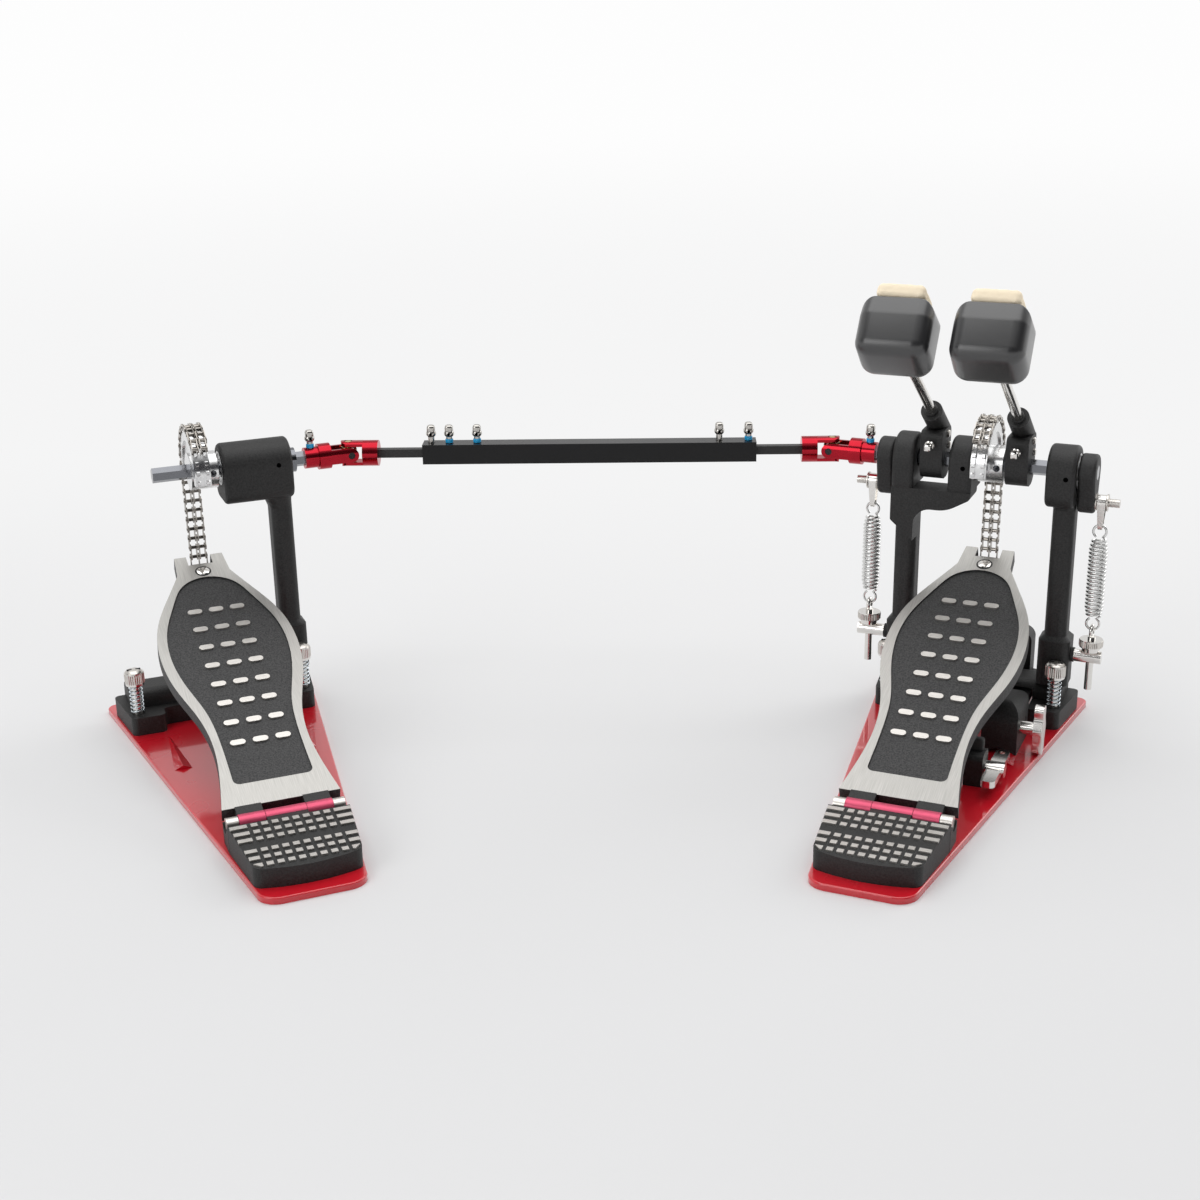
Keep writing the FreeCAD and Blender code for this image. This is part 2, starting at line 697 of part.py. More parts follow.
def heel_plate():
    front = HEEL_FRONT_W / 2
    rear = HEEL_REAR_W / 2
    z = BASE_T
    top = HEEL_REAR_Z + 1
    bow = HEEL_FRONT_Y - HEEL_BULGE
    bulge = Part.Arc(V(-front, HEEL_FRONT_Y, z), V(0, bow, z), V(front, HEEL_FRONT_Y, z))
    edges = [bulge.toShape(),
             Part.makeLine(V(front, HEEL_FRONT_Y, z), V(rear, HEEL_REAR_Y, z)),
             Part.makeLine(V(rear, HEEL_REAR_Y, z), V(-rear, HEEL_REAR_Y, z)),
             Part.makeLine(V(-rear, HEEL_REAR_Y, z), V(-front, HEEL_FRONT_Y, z))]
    body = Part.Face(Part.Wire(edges)).extrude(V(0, 0, top - z))
    rise = (HEEL_REAR_Z - HEEL_FRONT_Z) / (HEEL_REAR_Y - HEEL_FRONT_Y)
    low_y = HEEL_FRONT_Y - 2 * HEEL_BULGE
    slope = [(low_y, HEEL_FRONT_Z - 2 * HEEL_BULGE * rise), (HEEL_REAR_Y + 1, HEEL_REAR_Z + rise),
             (HEEL_REAR_Y + 1, top + 1), (low_y, top + 1)]
    body = body.cut(prism(slope, 0, "x", -rear - 1, rear + 1))
    corners = [e for e in body.Edges if abs(e.Vertexes[0].X - e.Vertexes[-1].X) < 1e-6
               and abs(e.Vertexes[0].Y - HEEL_FRONT_Y) < 1e-6 and abs(e.Vertexes[-1].Y - HEEL_FRONT_Y) < 1e-6]
    body = body.makeFillet(HEEL_R, corners)
    ledge_in = KNUCKLE_OUT_X + KNUCKLE_GAP
    ledges = [block(min(s * ledge_in, s * rear), max(s * ledge_in, s * rear), HEEL_REAR_Y - 1, LEDGE_BACK_Y,
                    BASE_T, HINGE_Z) for s in (-1, 1)]
    seat = rod_x(PIN_END_R + BOND_FIT, -rear - 1, rear + 1, HINGE_Y, HINGE_Z)
    return fuse(body, *ledges).cut(seat)


def centre_knuckle():
    barrel = rod_x(KNUCKLE_R, -KNUCKLE_MID_X, KNUCKLE_MID_X, HINGE_Y, HINGE_Z)
    leaf = block(-KNUCKLE_MID_X, KNUCKLE_MID_X, HEEL_REAR_Y, HINGE_Y,
                 HINGE_Z - LEAF_T / 2, HINGE_Z + LEAF_T / 2)
    bore = rod_x(HINGE_PIN_R + BOND_FIT, -KNUCKLE_MID_X - 1, KNUCKLE_MID_X + 1, HINGE_Y, HINGE_Z)
    return fuse(barrel, leaf).cut(bore)


def hinge_pin():
    end_in = KNUCKLE_OUT_X + KNUCKLE_GAP
    pin = rod_x(HINGE_PIN_R, -end_in, end_in, HINGE_Y, HINGE_Z)
    return fuse(pin, rod_x(PIN_END_R, -PIN_END_X, -end_in, HINGE_Y, HINGE_Z),
                rod_x(PIN_END_R, end_in, PIN_END_X, HINGE_Y, HINGE_Z))


BOARD = FreeCAD.Placement(V(0, BOARD_HEEL_Y, BOARD_HEEL_Z), FreeCAD.Rotation(V(1, 0, 0), BOARD_SLOPE))
HINGE_FLAT = BOARD.inverse().multVec(V(0, HINGE_Y, HINGE_Z))
TOE_PIN = BOARD.multVec(V(0, TOE_PIN_L, TOE_PIN_D))


def board_knuckles():
    """The two outer knuckles, drawn in the footboard's flat frame."""
    parts = []
    for side in (-1, 1):
        a = min(side * (KNUCKLE_MID_X + KNUCKLE_GAP), side * KNUCKLE_OUT_X)
        b = max(side * (KNUCKLE_MID_X + KNUCKLE_GAP), side * KNUCKLE_OUT_X)
        barrel = rod_x(KNUCKLE_R, a, b, HINGE_FLAT.y, HINGE_FLAT.z)
        leaf = block(a, b, HINGE_FLAT.y, 0, HINGE_FLAT.z - LEAF_T / 2, HINGE_FLAT.z + LEAF_T / 2)
        bore = rod_x(HINGE_PIN_R + RUN_FIT, a - 1, b + 1, HINGE_FLAT.y, HINGE_FLAT.z)
        knuckle = fuse(barrel, leaf).cut(bore)
        knuckle.Placement = BOARD
        parts.append(knuckle)
    return parts


# Footboard

def spline(points, z):
    curve = Part.BSplineCurve()
    curve.interpolate([V(x, l, z) for x, l in points])
    return curve.toShape()


def mirrored(points):
    return [(-x, l) for x, l in points]


def board_face(z):
    toe = TOE_W / 2
    heel_x, heel_l = BOARD_EDGE[0]
    last_x, last_l = BOARD_EDGE[-1]
    edges = [Part.makeLine(V(-heel_x, heel_l, z), V(heel_x, heel_l, z)), spline(BOARD_EDGE, z),
             Part.makeLine(V(last_x, last_l, z), V(toe, BOARD_L, z)),
             Part.makeLine(V(toe, BOARD_L, z), V(-toe, BOARD_L, z)),
             Part.makeLine(V(-toe, BOARD_L, z), V(-last_x, last_l, z)), spline(mirrored(BOARD_EDGE), z)]
    return Part.Face(Part.Wire(Part.__sortEdges__(edges)))


def panel_face(z):
    side_x, side_l = PANEL_EDGE[0]
    foot_l = side_l - PANEL_CORNER_R
    foot_x = side_x - PANEL_CORNER_R
    bow = PANEL_CORNER_R * math.sqrt(0.5)
    over = PANEL_EDGE + [(0.0, PANEL_TOP_L)] + mirrored(PANEL_EDGE)[::-1]
    edges = [Part.makeLine(V(-foot_x, foot_l, z), V(foot_x, foot_l, z)), spline(over, z)]
    for side in (-1, 1):
        edges.append(Part.Arc(V(side * foot_x, foot_l, z), V(side * (foot_x + bow), side_l - bow, z),
                              V(side * side_x, side_l, z)).toShape())
    return Part.Face(Part.Wire(Part.__sortEdges__(edges)))


def footboard():
    body = board_face(-BOARD_T).extrude(V(0, 0, BOARD_T))
    recess = panel_face(-PANEL_DEPTH).extrude(V(0, 0, PANEL_DEPTH + 1))
    pocket = panel_face(-BOARD_T - 1).extrude(V(0, 0, BOARD_T + 1 - PANEL_DEPTH - BOARD_WEB))
    notch = block(-NOTCH_W / 2, NOTCH_W / 2, BOARD_L - NOTCH_L, BOARD_L + 1, -BOARD_T - 1, 1)
    socket_x = TOE_PIN_X + SEAT_GAP
    socket = rod_x(TOE_PIN_R + TOE_PIN_ROOM, -socket_x, socket_x, TOE_PIN_L, TOE_PIN_D)
    body = body.cut(Part.makeCompound([recess, pocket])).cut(fuse(notch, socket))
    body.Placement = BOARD
    return body


# Chain: link plates as scalloped strips along the pin centres, joined by the rollers

def on_sprocket(degrees, radius=PITCH_R):
    angle = math.radians(degrees)
    return V(0, radius * math.cos(angle), AXLE_Z + radius * math.sin(angle))


def wrap_pins():
    return [on_sprocket(WRAP_START + TOOTH_DEG * i) for i in range(WRAP_LINKS + 1)]


def run_pins():
    """From the last pin on the sprocket down to the toe of the footboard."""
    start = [on_sprocket(WRAP_START - TOOTH_DEG * i) for i in range(3)]
    step = (TOE_PIN - V(0, TOE_PIN_BACK, 0) - start[-1]) / RUN_LINKS
    return start + [start[-1] + step * (i + 1) for i in range(RUN_LINKS)]


def strip(pins, x):
    """One row of link plates: tall at the pins, waisted between them, round at both ends."""
    above = []
    below = []
    for i, pin in enumerate(pins):
        before = pins[max(i - 1, 0)]
        after = pins[min(i + 1, len(pins) - 1)]
        along = (after - before).normalize()
        normal = V(0, -along.z, along.y)
        above.append(pin + normal * (LINK_H / 2))
        below.append(pin - normal * (LINK_H / 2))
        if i + 1 < len(pins):
            middle = (pin + after) / 2.0 if i > 0 else (pin + pins[1]) / 2.0
            chord = (pins[i + 1] - pin).normalize()
            normal = V(0, -chord.z, chord.y)
            above.append(middle + normal * (LINK_WAIST / 2))
            below.append(middle - normal * (LINK_WAIST / 2))
    first_out = pins[0] - (pins[1] - pins[0]).normalize() * (LINK_H / 2)
    last_out = pins[-1] + (pins[-1] - pins[-2]).normalize() * (LINK_H / 2)
    edges = [Part.makeLine(a, b) for a, b in zip(above, above[1:])]
    edges.append(Part.Arc(above[-1], last_out, below[-1]).toShape())
    edges += [Part.makeLine(a, b) for a, b in zip(below[::-1], below[::-1][1:])]
    edges.append(Part.Arc(below[0], first_out, above[0]).toShape())
    face = Part.Face(Part.Wire(edges))
    face.translate(V(x - PLATE_T / 2, 0, 0))
    return face.extrude(V(PLATE_T, 0, 0))


def chain_wrap():
    pins = wrap_pins()
    half = INNER_ROWS[1] + PLATE_T / 2
    rows = [strip(pins, side * x) for x in INNER_ROWS for side in (-1, 1)]
    rollers = [rod_x(ROLLER_R, -half, half, pin.y, pin.z) for pin in pins[1:]]
    eye = rod_x(CHAIN_PIN_R + RUN_FIT, -half - 1, half + 1, pins[0].y, pins[0].z)
    return fuse(*(rollers + rows)).cut(eye)


def chain_run():
    pins = run_pins()
    half = OUTER_ROWS[1] + PLATE_T / 2
    rows = [strip(pins, x) for x in (-OUTER_ROWS[1], OUTER_ROWS[0], OUTER_ROWS[1])]
    rollers = [rod_x(ROLLER_R, -half, half, pin.y, pin.z) for pin in pins[1:-1]]
    pivot = rod_x(CHAIN_PIN_R, -half, half, pins[0].y, pins[0].z)
    toe = rod_x(TOE_PIN_R, -TOE_PIN_X, TOE_PIN_X, pins[-1].y, pins[-1].z)
    return fuse(pivot, toe, *(rollers + rows))


def tooth_disc(x):
    points = []
    for i in range(TEETH):
        middle = WRAP_START + TOOTH_DEG * (i + 0.5)
        for lean, radius in ((-TOOTH_ROOT_DEG, ROOT_R), (-TOOTH_TIP_DEG, ROOT_R + TOOTH_H),
                             (TOOTH_TIP_DEG, ROOT_R + TOOTH_H), (TOOTH_ROOT_DEG, ROOT_R)):
            points.append(on_sprocket(middle + lean, radius))
    face = Part.Face(Part.makePolygon(points + points[:1]))
    face.translate(V(x - DISC_T / 2, 0, 0))
    return face.extrude(V(DISC_T, 0, 0))


def sprocket():
    """Only the upper half carries chain, so the rim and teeth end a little below the axle."""
    half = SPROCKET_W / 2
    rim = rod_x(CORE_R, -half, half, 0, AXLE_Z)
    hollow = rod_x(CORE_R - RIM_T, -half - 1, half + 1, 0, AXLE_Z)
    web = rod_x(CORE_R - RIM_T + 1, -WEB_T / 2, WEB_T / 2, 0, AXLE_Z)
    hub = rod_x(SPROCKET_HUB_R, -half, SPROCKET_HUB_X, 0, AXLE_Z)
    body = fuse(rim.cut(hollow), web, hub, tooth_disc(-STRAND_X), tooth_disc(STRAND_X))
    bore = lifted(hex_x(HEX_FLATS + 2 * HEX_FIT, -half - 1, SPROCKET_HUB_X + 1), AXLE_Z)
    span = PITCH_R + LINK_H
    under = block(-half - 1, half + 1, -span, span, AXLE_Z - span, AXLE_Z - SPROCKET_SKIRT)
    body = body.cut(under.cut(hub))
    set_x = (half + SPROCKET_HUB_X) / 2
    hole = rod_y(SET_SCREW_R, -SPROCKET_HUB_R - 1, 0, set_x, AXLE_Z)
    return body.cut(fuse(bore, hole))


# Beater; its shaft, head and felt are drawn upright and then leaned back on a point above the axle

LEAN = FreeCAD.Placement(V(0, 0, AXLE_Z + ROD_RISE), FreeCAD.Rotation(V(1, 0, 0), BEATER_LEAN))


def leaned(shape, x):
    copy = shape.copy()
    copy.Placement = FreeCAD.Placement(V(x, 0, 0), FreeCAD.Rotation()).multiply(LEAN).multiply(copy.Placement)
    return copy


def beater_hub(x):
    """An upright block on the axle, with a leaned socket for the shaft on top."""
    low, high = AXLE_Z - HUB_BOTTOM, AXLE_Z + HUB_TOP
    body = prism(rectangle(-HUB_D / 2, HUB_D / 2, low, high), [HUB_R, HUB_R, HUB_TOP_R, HUB_TOP_R], "x",
                 x - HUB_W / 2, x + HUB_W / 2)
    socket = leaned(rod_z(SOCKET_R, SOCKET_FOOT, SOCKET_TOP), x)
    bore = leaned(rod_z(SHAFT_R + RUN_FIT, SOCKET_FOOT + SOCKET_FLOOR, SOCKET_TOP + 1), x)
    hole = lifted(hex_x(HEX_FLATS + 2 * HEX_FIT, x - HUB_W, x + HUB_W), AXLE_Z)
    return fuse(body, socket).cut(Part.makeCompound([bore, hole]))


def beater_shaft():
    return rod_z(SHAFT_R, SHAFT_FOOT, HEAD_L - HEAD_H / 2 + SHAFT_IN_HEAD)


def beater_head():
    """A cushion-like block: three rounded outlines, one from each side, and what they share."""
    d = HEAD_D / 2
    w = HEAD_W / 2
    low = HEAD_L - HEAD_H / 2
    high = HEAD_L + HEAD_H / 2
    section = [(-d, low), (d, low), (d, high - HEAD_SLOPE), (d - HEAD_STRIP, high), (-d + HEAD_TAPER, high)]
    side = prism(section, [HEAD_R, HEAD_REAR_R, HEAD_REAR_R / 4, HEAD_CREASE_R, HEAD_R], "x", -w, w)
    front = prism(rectangle(-w, w, low, high), [HEAD_R, HEAD_R, HEAD_TOP_R, HEAD_TOP_R], "y", -d - 1, d + 1)
    plan = prism(rectangle(-w, w, -d, d), [HEAD_R, HEAD_R, HEAD_REAR_R, HEAD_REAR_R], "z", low - 1, high + 1)
    socket = rod_z(SHAFT_R + BOND_FIT, low - 1, low + SHAFT_IN_HEAD)
    return side.common(front).common(plan).cut(socket)


def beater_felt():
    w = FELT_W / 2
    outline = rectangle(-w, w, HEAD_L - FELT_H / 2, HEAD_L + FELT_H / 2)
    return prism(outline, FELT_R, "y", HEAD_D / 2, HEAD_D / 2 + FELT_T)


# Rocker, clip and return spring of one side; side is -1 for the left and 1 for the right

def rocker(x0, side):
    x1 = x0 + ROCKER_W
    disc = rod_x(ROCKER_R, x0, x1, 0, AXLE_Z)
    tip = rod_x(ROCKER_TIP_R, x0, x1, 0, PIN_Z)
    lean = math.asin((ROCKER_R - ROCKER_TIP_R) / ROCKER_ARM)
    sides = []
    for s in (-1, 1):
        sides.append((s * ROCKER_R * math.cos(lean), AXLE_Z - ROCKER_R * math.sin(lean)))
        sides.append((s * ROCKER_TIP_R * math.cos(lean), PIN_Z - ROCKER_TIP_R * math.sin(lean)))
    arm = prism([sides[0], sides[1], sides[3], sides[2]], 0, "x", x0, x1)
    bore = lifted(hex_x(HEX_FLATS + 2 * HEX_FIT, x0 - 1, x1 + 1), AXLE_Z)
    pin_hole = rod_x(ROCKER_PIN_R + BOND_FIT, x0 - 1, x1 + 1, 0, PIN_Z)
    body = softened(fuse(disc, tip, arm), (x0, x1), ROCKER_EDGE).cut(Part.makeCompound([bore, pin_hole]))
    face = x1 if side > 0 else x0
    end = face + side * ROCKER_PIN_OUT
    back = x0 if side > 0 else x1
    pin = rod_x(ROCKER_PIN_R, min(back, end), max(back, end), 0, PIN_Z)
    collars = []
    outer = face + side * (COLLAR_T + 2 * PIN_CLEAR + CLIP_W)
    for at in (face, outer):
        a = min(at, at + side * COLLAR_T)
        ring = rod_x(COLLAR_R, a, a + COLLAR_T, 0, PIN_Z)
        collars.append(ring.cut(rod_x(ROCKER_PIN_R + BOND_FIT, a - 1, a + COLLAR_T + 1, 0, PIN_Z)))
    return [body, pin] + collars


def teardrop(x, top_r, foot_r, width):
    """A solid pear shape round the rocker pin and the spring's hook."""
    a, b = x - width / 2, x + width / 2
    span = PIN_Z - CLIP_FOOT_Z
    lean = math.asin((top_r - foot_r) / span)
    sides = []
    for s in (-1, 1):
        sides.append((s * top_r * math.cos(lean), PIN_Z - top_r * math.sin(lean)))
        sides.append((s * foot_r * math.cos(lean), CLIP_FOOT_Z - foot_r * math.sin(lean)))
    middle = prism([sides[0], sides[1], sides[3], sides[2]], 0, "x", a, b)
    return fuse(rod_x(top_r, a, b, 0, PIN_Z), rod_x(foot_r, a, b, 0, CLIP_FOOT_Z), middle)


def spring_clip(x):
    """A strap round the rocker pin that narrows down to the spring's hook."""
    deep = CLIP_TOP_R + CLIP_T
    outer = teardrop(x, deep, CLIP_FOOT_R + CLIP_T, CLIP_W)
    foot = CLIP_FOOT_Z - CLIP_FOOT_R - CLIP_T
    front = [(x - CLIP_W / 2, PIN_Z + deep), (x - CLIP_W / 2, PIN_Z), (x - CLIP_FOOT_W / 2, foot),
             (x + CLIP_FOOT_W / 2, foot), (x + CLIP_W / 2, PIN_Z), (x + CLIP_W / 2, PIN_Z + deep)]
    narrowed = outer.common(prism(front, 0, "y", -2 * deep, 2 * deep))
    return narrowed.cut(teardrop(x, CLIP_TOP_R, CLIP_FOOT_R, CLIP_W + 2))


def return_spring(x):
    """Close coil with a round hook at each end; the hooks stand in the x-z plane on the axis."""
    up = [(V(HOOK_R, 0, COIL_TOP_Z + HOOK_LEAD + HOOK_R), V(0, 0, 1)), (V(0, 0, HOOK_TOP_Z), V(-1, 0, 0)),
          (V(-HOOK_R, 0, HOOK_TOP_Z - HOOK_R), V(0, 0, -1)),
          (V(-HOOK_R * 0.7, 0, HOOK_TOP_Z - HOOK_R * 1.7), V(0.7, 0, -0.7))]
    down = [(V(-HOOK_R * 0.7, 0, HOOK_BOTTOM_Z + HOOK_R * 1.7), V(-0.7, 0, -0.7)),
            (V(-HOOK_R, 0, HOOK_BOTTOM_Z + HOOK_R), V(0, 0, -1)),
            (V(0, 0, HOOK_BOTTOM_Z), V(1, 0, 0)), (V(HOOK_R, 0, HOOK_BOTTOM_Z + HOOK_R), V(0, 0, 1))]
    stations = down + coil_stations(SPRING_R, SPRING_PITCH, SPRING_TURNS, COIL_BOTTOM_Z) + up
    stations = [(at, along.normalize()) for at, along in stations]
    tube, path = wire_tube(stations, WIRE_R)
    gap = self_gap(path, WIRE_R, SPRING_R * 4)
    print("return spring: %d curls, least self gap %.2f mm" % (SPRING_TURNS, gap))
    tube.translate(V(x, 0, 0))
    return tube


def tension_rod(x):
    eye = Part.makeTorus(EYE_R, EYE_WIRE_R, V(x, 0, EYE_Z), V(1, 0, 0))
    foot_z = BAR_Z - ROD_TAIL
    stem = rod_z(ROD_R, foot_z, EYE_Z - EYE_R, x, 0)
    low = BAR_Z + BAR_R + BOND_FIT
    head = low + NUT_NECK_H
    nut = fuse(rod_z(NUT_NECK_R, low, head, x, 0), rod_z(NUT_R, head, head + NUT_H, x, 0))
    nut = nut.cut(rod_z(ROD_R + BOND_FIT, low - 1, head + NUT_H + 1, x, 0))
    return [fuse(eye, stem), nut]


def swivel_bar(post_x, x, side):
    face = post_x + side * (PEDESTAL_W / 2 + SEAT_GAP)
    outer = x + side * BAR_OUT
    inner = post_x + side * (PEDESTAL_W / 2 - BAR_PIN_L + SEAT_GAP)
    bar = rod_x(BAR_R, min(face, outer), max(face, outer), 0, BAR_Z)
    pin = rod_x(BAR_PIN_R, min(inner, face), max(inner, face), 0, BAR_Z)
    return fuse(bar, pin).cut(rod_z(ROD_R + BOND_FIT, BAR_Z - BAR_R - 1, BAR_Z + BAR_R + 1, x, 0))


# Spurs

def spur(side):
    x = side * SPUR_X
    head_z = SPUR_TOP_Z - SPUR_HEAD_H
    point = Part.makeCone(SPUR_R / 4, SPUR_R, SPUR_POINT_H, V(x, SPUR_Y, SPUR_TIP_Z))
    stem = rod_z(SPUR_R, SPUR_TIP_Z + SPUR_POINT_H, head_z, x, SPUR_Y)
    head = rod_z(SPUR_HEAD_R, head_z, SPUR_TOP_Z, x, SPUR_Y)
    return fuse(point, stem, head)


def spur_spring(side):
    room = SPUR_TOP_Z - SPUR_HEAD_H - FOOT_LOW_Z - 2 * (SPUR_WIRE_R + SEAT_GAP)
    first = FOOT_LOW_Z + SPUR_WIRE_R + SEAT_GAP
    stations = coil_stations(SPUR_SPRING_R, room / SPUR_TURNS, SPUR_TURNS, first)
    tube, path = wire_tube(stations, SPUR_WIRE_R)
    tube.translate(V(side * SPUR_X, SPUR_Y, 0))
    return tube, self_gap(path, SPUR_WIRE_R, SPUR_SPRING_R * 4)


# Universal joints, drawn along +x from the joint's centre

def yoke_ears(neck, pin_radius):
    """Two ears across y, with round ends on the pin's axis."""
    ears = []
    for side in (-1, 1):
        a = min(side * EAR_IN, side * EAR_OUT)
        b = a + EAR_OUT - EAR_IN
        ear = fuse(rod_y(EAR_R, a, b), block(0, neck, a, b, -EAR_R, EAR_R))
        ears.append(ear)
    both = Part.makeCompound(ears).common(rod_x(YOKE_R, -EAR_R - 1, neck + 1))
    return [solid.cut(rod_y(pin_radius, -EAR_OUT - 1, EAR_OUT + 1)) for solid in both.Solids]


def axle_yoke():
    ring_end = YOKE_NECK + YOKE_RING
    ring = rod_x(YOKE_R, YOKE_NECK, ring_end)
    hub = rod_x(YOKE_HUB_R, ring_end, ring_end + YOKE_HUB)
    bore = hex_x(HEX_FLATS + 2 * HEX_FIT, YOKE_NECK + 2, ring_end + YOKE_HUB + 1)
    return fuse(ring, hub, *yoke_ears(YOKE_NECK, CROSS_PIN_R + RUN_FIT)).cut(bore)


def shaft_yoke():
    end = SHAFT_YOKE_NECK + SHAFT_YOKE_L
    ring = rod_x(YOKE_R, SHAFT_YOKE_NECK, end)
    half = ROD_SQ / 2 + ROD_FIT
    bore = block(SHAFT_YOKE_NECK + 2, end + 1, -half, half, -half, half)
    body = fuse(ring, *yoke_ears(SHAFT_YOKE_NECK, CROSS_PIN_R + OPEN_PIVOT)).cut(bore)
    body.rotate(V(0, 0, 0), V(1, 0, 0), 90)
    return body


def cross():
    core = block(-CROSS_HALF, CROSS_HALF, -CROSS_HALF, CROSS_HALF, -CROSS_HALF, CROSS_HALF)
    core = core.common(rod_x(CROSS_HALF * 1.25, -CROSS_HALF, CROSS_HALF))
    pins = [rod(CROSS_PIN_R, -CROSS_PIN_L, CROSS_PIN_L) for rod in (rod_y, rod_z)]
    return fuse(core, *pins)


def half_turn(shape):
    copy = shape.copy()
    copy.rotate(V(0, 0, 0), UP, 180)
    return copy


def moved(shape, x, y, z):
    copy = shape.copy()
    copy.translate(V(x, y, z))
    return copy


def shaft_rods():
    half = ROD_SQ / 2
    start = JOINT_SPAN / 2 - SHAFT_YOKE_NECK - 2
    inner = TUBE_L / 2 - ROD_IN_TUBE
    return [block(-start, -inner, -half, half, -half, half), block(inner, start, -half, half, -half, half)]


def shaft_tube():
    half = TUBE_SQ / 2
    bore = ROD_SQ / 2 + ROD_FIT
    tube = block(-TUBE_L / 2, TUBE_L / 2, -half, half, -half, half)
    tube = tube.cut(block(-TUBE_L, TUBE_L, -bore, bore, -bore, bore))
    holes = [rod_z(KEY_SCREW_R + BOND_FIT, bore - 1, half + 1, x) for x in KEY_SCREWS_X]
    return tube.cut(Part.makeCompound(holes))


def key_screw(x):
    """Square-headed drum key screw standing on the tube, its point on the rod."""
    half = TUBE_SQ / 2
    stem = rod_z(KEY_SCREW_R, ROD_SQ / 2 + ROD_FIT, half, x)
    head = rod_z(KEY_HEAD_R, half, half + KEY_HEAD_H, x)
    top = half + KEY_HEAD_H
    square = block(x - KEY_SQ / 2, x + KEY_SQ / 2, -KEY_SQ / 2, KEY_SQ / 2, top, top + KEY_SQ_H)
    return fuse(stem, head, square)


# Hoop clamp, key clip and drum key on the primary base

def clamp_block():
    x0, x1 = CLAMP_X
    y0, y1 = CLAMP_Y
    profile = [(y0, BASE_T), (y1, BASE_T), (y1, CLAMP_TOP_Z), (y0, CLAMP_TOP_Z)]
    side = prism(profile, [0, 0, CLAMP_R, 2 * CLAMP_R], "x", x0, x1)
    shoulders = [0, 0, CLAMP_SHOULDER_R, CLAMP_SHOULDER_R]
    face = prism(rectangle(x0, x1, BASE_T, CLAMP_TOP_Z), shoulders, "y", y0, y1)
    body = side.common(face)
    arch = rod_y(ARCH_R, y0 - 1, y0 + ARCH_DEPTH, (x0 + x1) / 2, BASE_T - ARCH_DROP)
    slot = block(JAW_X[0] - JAW_ROOM, JAW_X[1] + JAW_ROOM, JAW_TAIL_Y - JAW_ROOM, y1 + 1,
                 BASE_T - 1, JAW_Z[1] + JAW_DROP)
    pivot = rod_x(JAW_PIN_R + RUN_FIT, x0 - 1, x1 + 1, JAW_PIVOT_Y, (JAW_Z[0] + JAW_Z[1]) / 2)
    thread = rod_x(WING_SHANK_R + RUN_FIT, x1 - WING_IN - SEAT_GAP, x1 + 1, WING_Y, WING_Z)
    return body.cut(slot).cut(Part.makeCompound([pivot, thread, arch])).cut(base_rib(1))


def clamp_jaw():
    middle = (JAW_Z[0] + JAW_Z[1]) / 2
    lever = block(JAW_X[0], JAW_X[1], JAW_TAIL_Y, BASE_TOE_Y, JAW_Z[0], JAW_Z[1])
    outline = rectangle(*JAW_PAD_X, FOOT_BACK_Y + JAW_PAD_GAP, BASE_TOE_Y)
    pad = prism(outline, JAW_PAD_R, "z", *JAW_Z)
    pin = rod_x(JAW_PIN_R, CLAMP_X[0] + SEAT_GAP, CLAMP_X[1] - SEAT_GAP, JAW_PIVOT_Y, middle)
    claw = prism(rectangle(*CLAW_X, JAW_Z[0], CLAW_TOP_Z), [0, 0, CLAW_R, CLAW_R], "y",
                 FOOT_BACK_Y + JAW_PAD_GAP, BASE_TOE_Y)
    return fuse(lever, pad, claw, pin)


def wing_screw():
    x0 = CLAMP_X[1] - WING_IN
    x1 = CLAMP_X[1] + WING_SHANK_L
    shank = rod_x(WING_SHANK_R, x0, x1 + 1, WING_Y, WING_Z)
    half = [(WING_TIP, WING_SPAN, WING_TIP_R), (WING_WAIST, WING_SPAN / 2, WING_WAIST_R),
            (WING_MIDDLE, 0, WING_MIDDLE_R), (WING_WAIST, -WING_SPAN / 2, WING_WAIST_R),
            (WING_TIP, -WING_SPAN, WING_TIP_R)]
    both = half + [(-y, z, radius) for y, z, radius in reversed(half)]
    points = [(WING_Y + y, WING_Z + z) for y, z, radius in both]
    plate = prism(points, [radius for y, z, radius in both], "x", x1, x1 + WING_T)
    return fuse(shank, plate)


def key_clip():
    middle = (CLIP_BLOCK_Y[0] + CLIP_BLOCK_Y[1]) / 2
    radii = [0, 0, CLIP_BLOCK_R, CLIP_BLOCK_R]
    body = prism(rectangle(*CLIP_BLOCK_Y, BASE_T, CLIP_BLOCK_Z), radii, "x", *CLIP_BLOCK_X)
    return body.cut(rod_x(KEY_R + RUN_FIT, CLIP_BLOCK_X[0] - 1, CLIP_BLOCK_X[1] + 1, middle, KEY_Z))


def drum_key():
    middle = (CLIP_BLOCK_Y[0] + CLIP_BLOCK_Y[1]) / 2
    shank = rod_x(KEY_R, KEY_X[0], KEY_X[1], middle, KEY_Z)
    plan = rectangle(*KEY_BAR_X, middle - KEY_BAR_L / 2, middle + KEY_BAR_L / 2)
    bar = prism(plan, KEY_BAR_R, "z", KEY_Z - KEY_BAR_T / 2, KEY_Z + KEY_BAR_T / 2)
    hole = rod_z(KEY_HOLE_R, KEY_Z - KEY_BAR_T, KEY_Z + KEY_BAR_T, sum(KEY_BAR_X) / 2,
                 middle + KEY_BAR_L / 2 - 2.5 * KEY_HOLE_R)
    half = KEY_SOCKET / 2
    socket = block(KEY_X[0] - 1, KEY_X[0] + 2 * KEY_SOCKET, middle - half, middle + half,
                   KEY_Z - half, KEY_Z + half)
    return fuse(shank, bar).cut(Part.makeCompound([hole, socket]))


# The whole rig

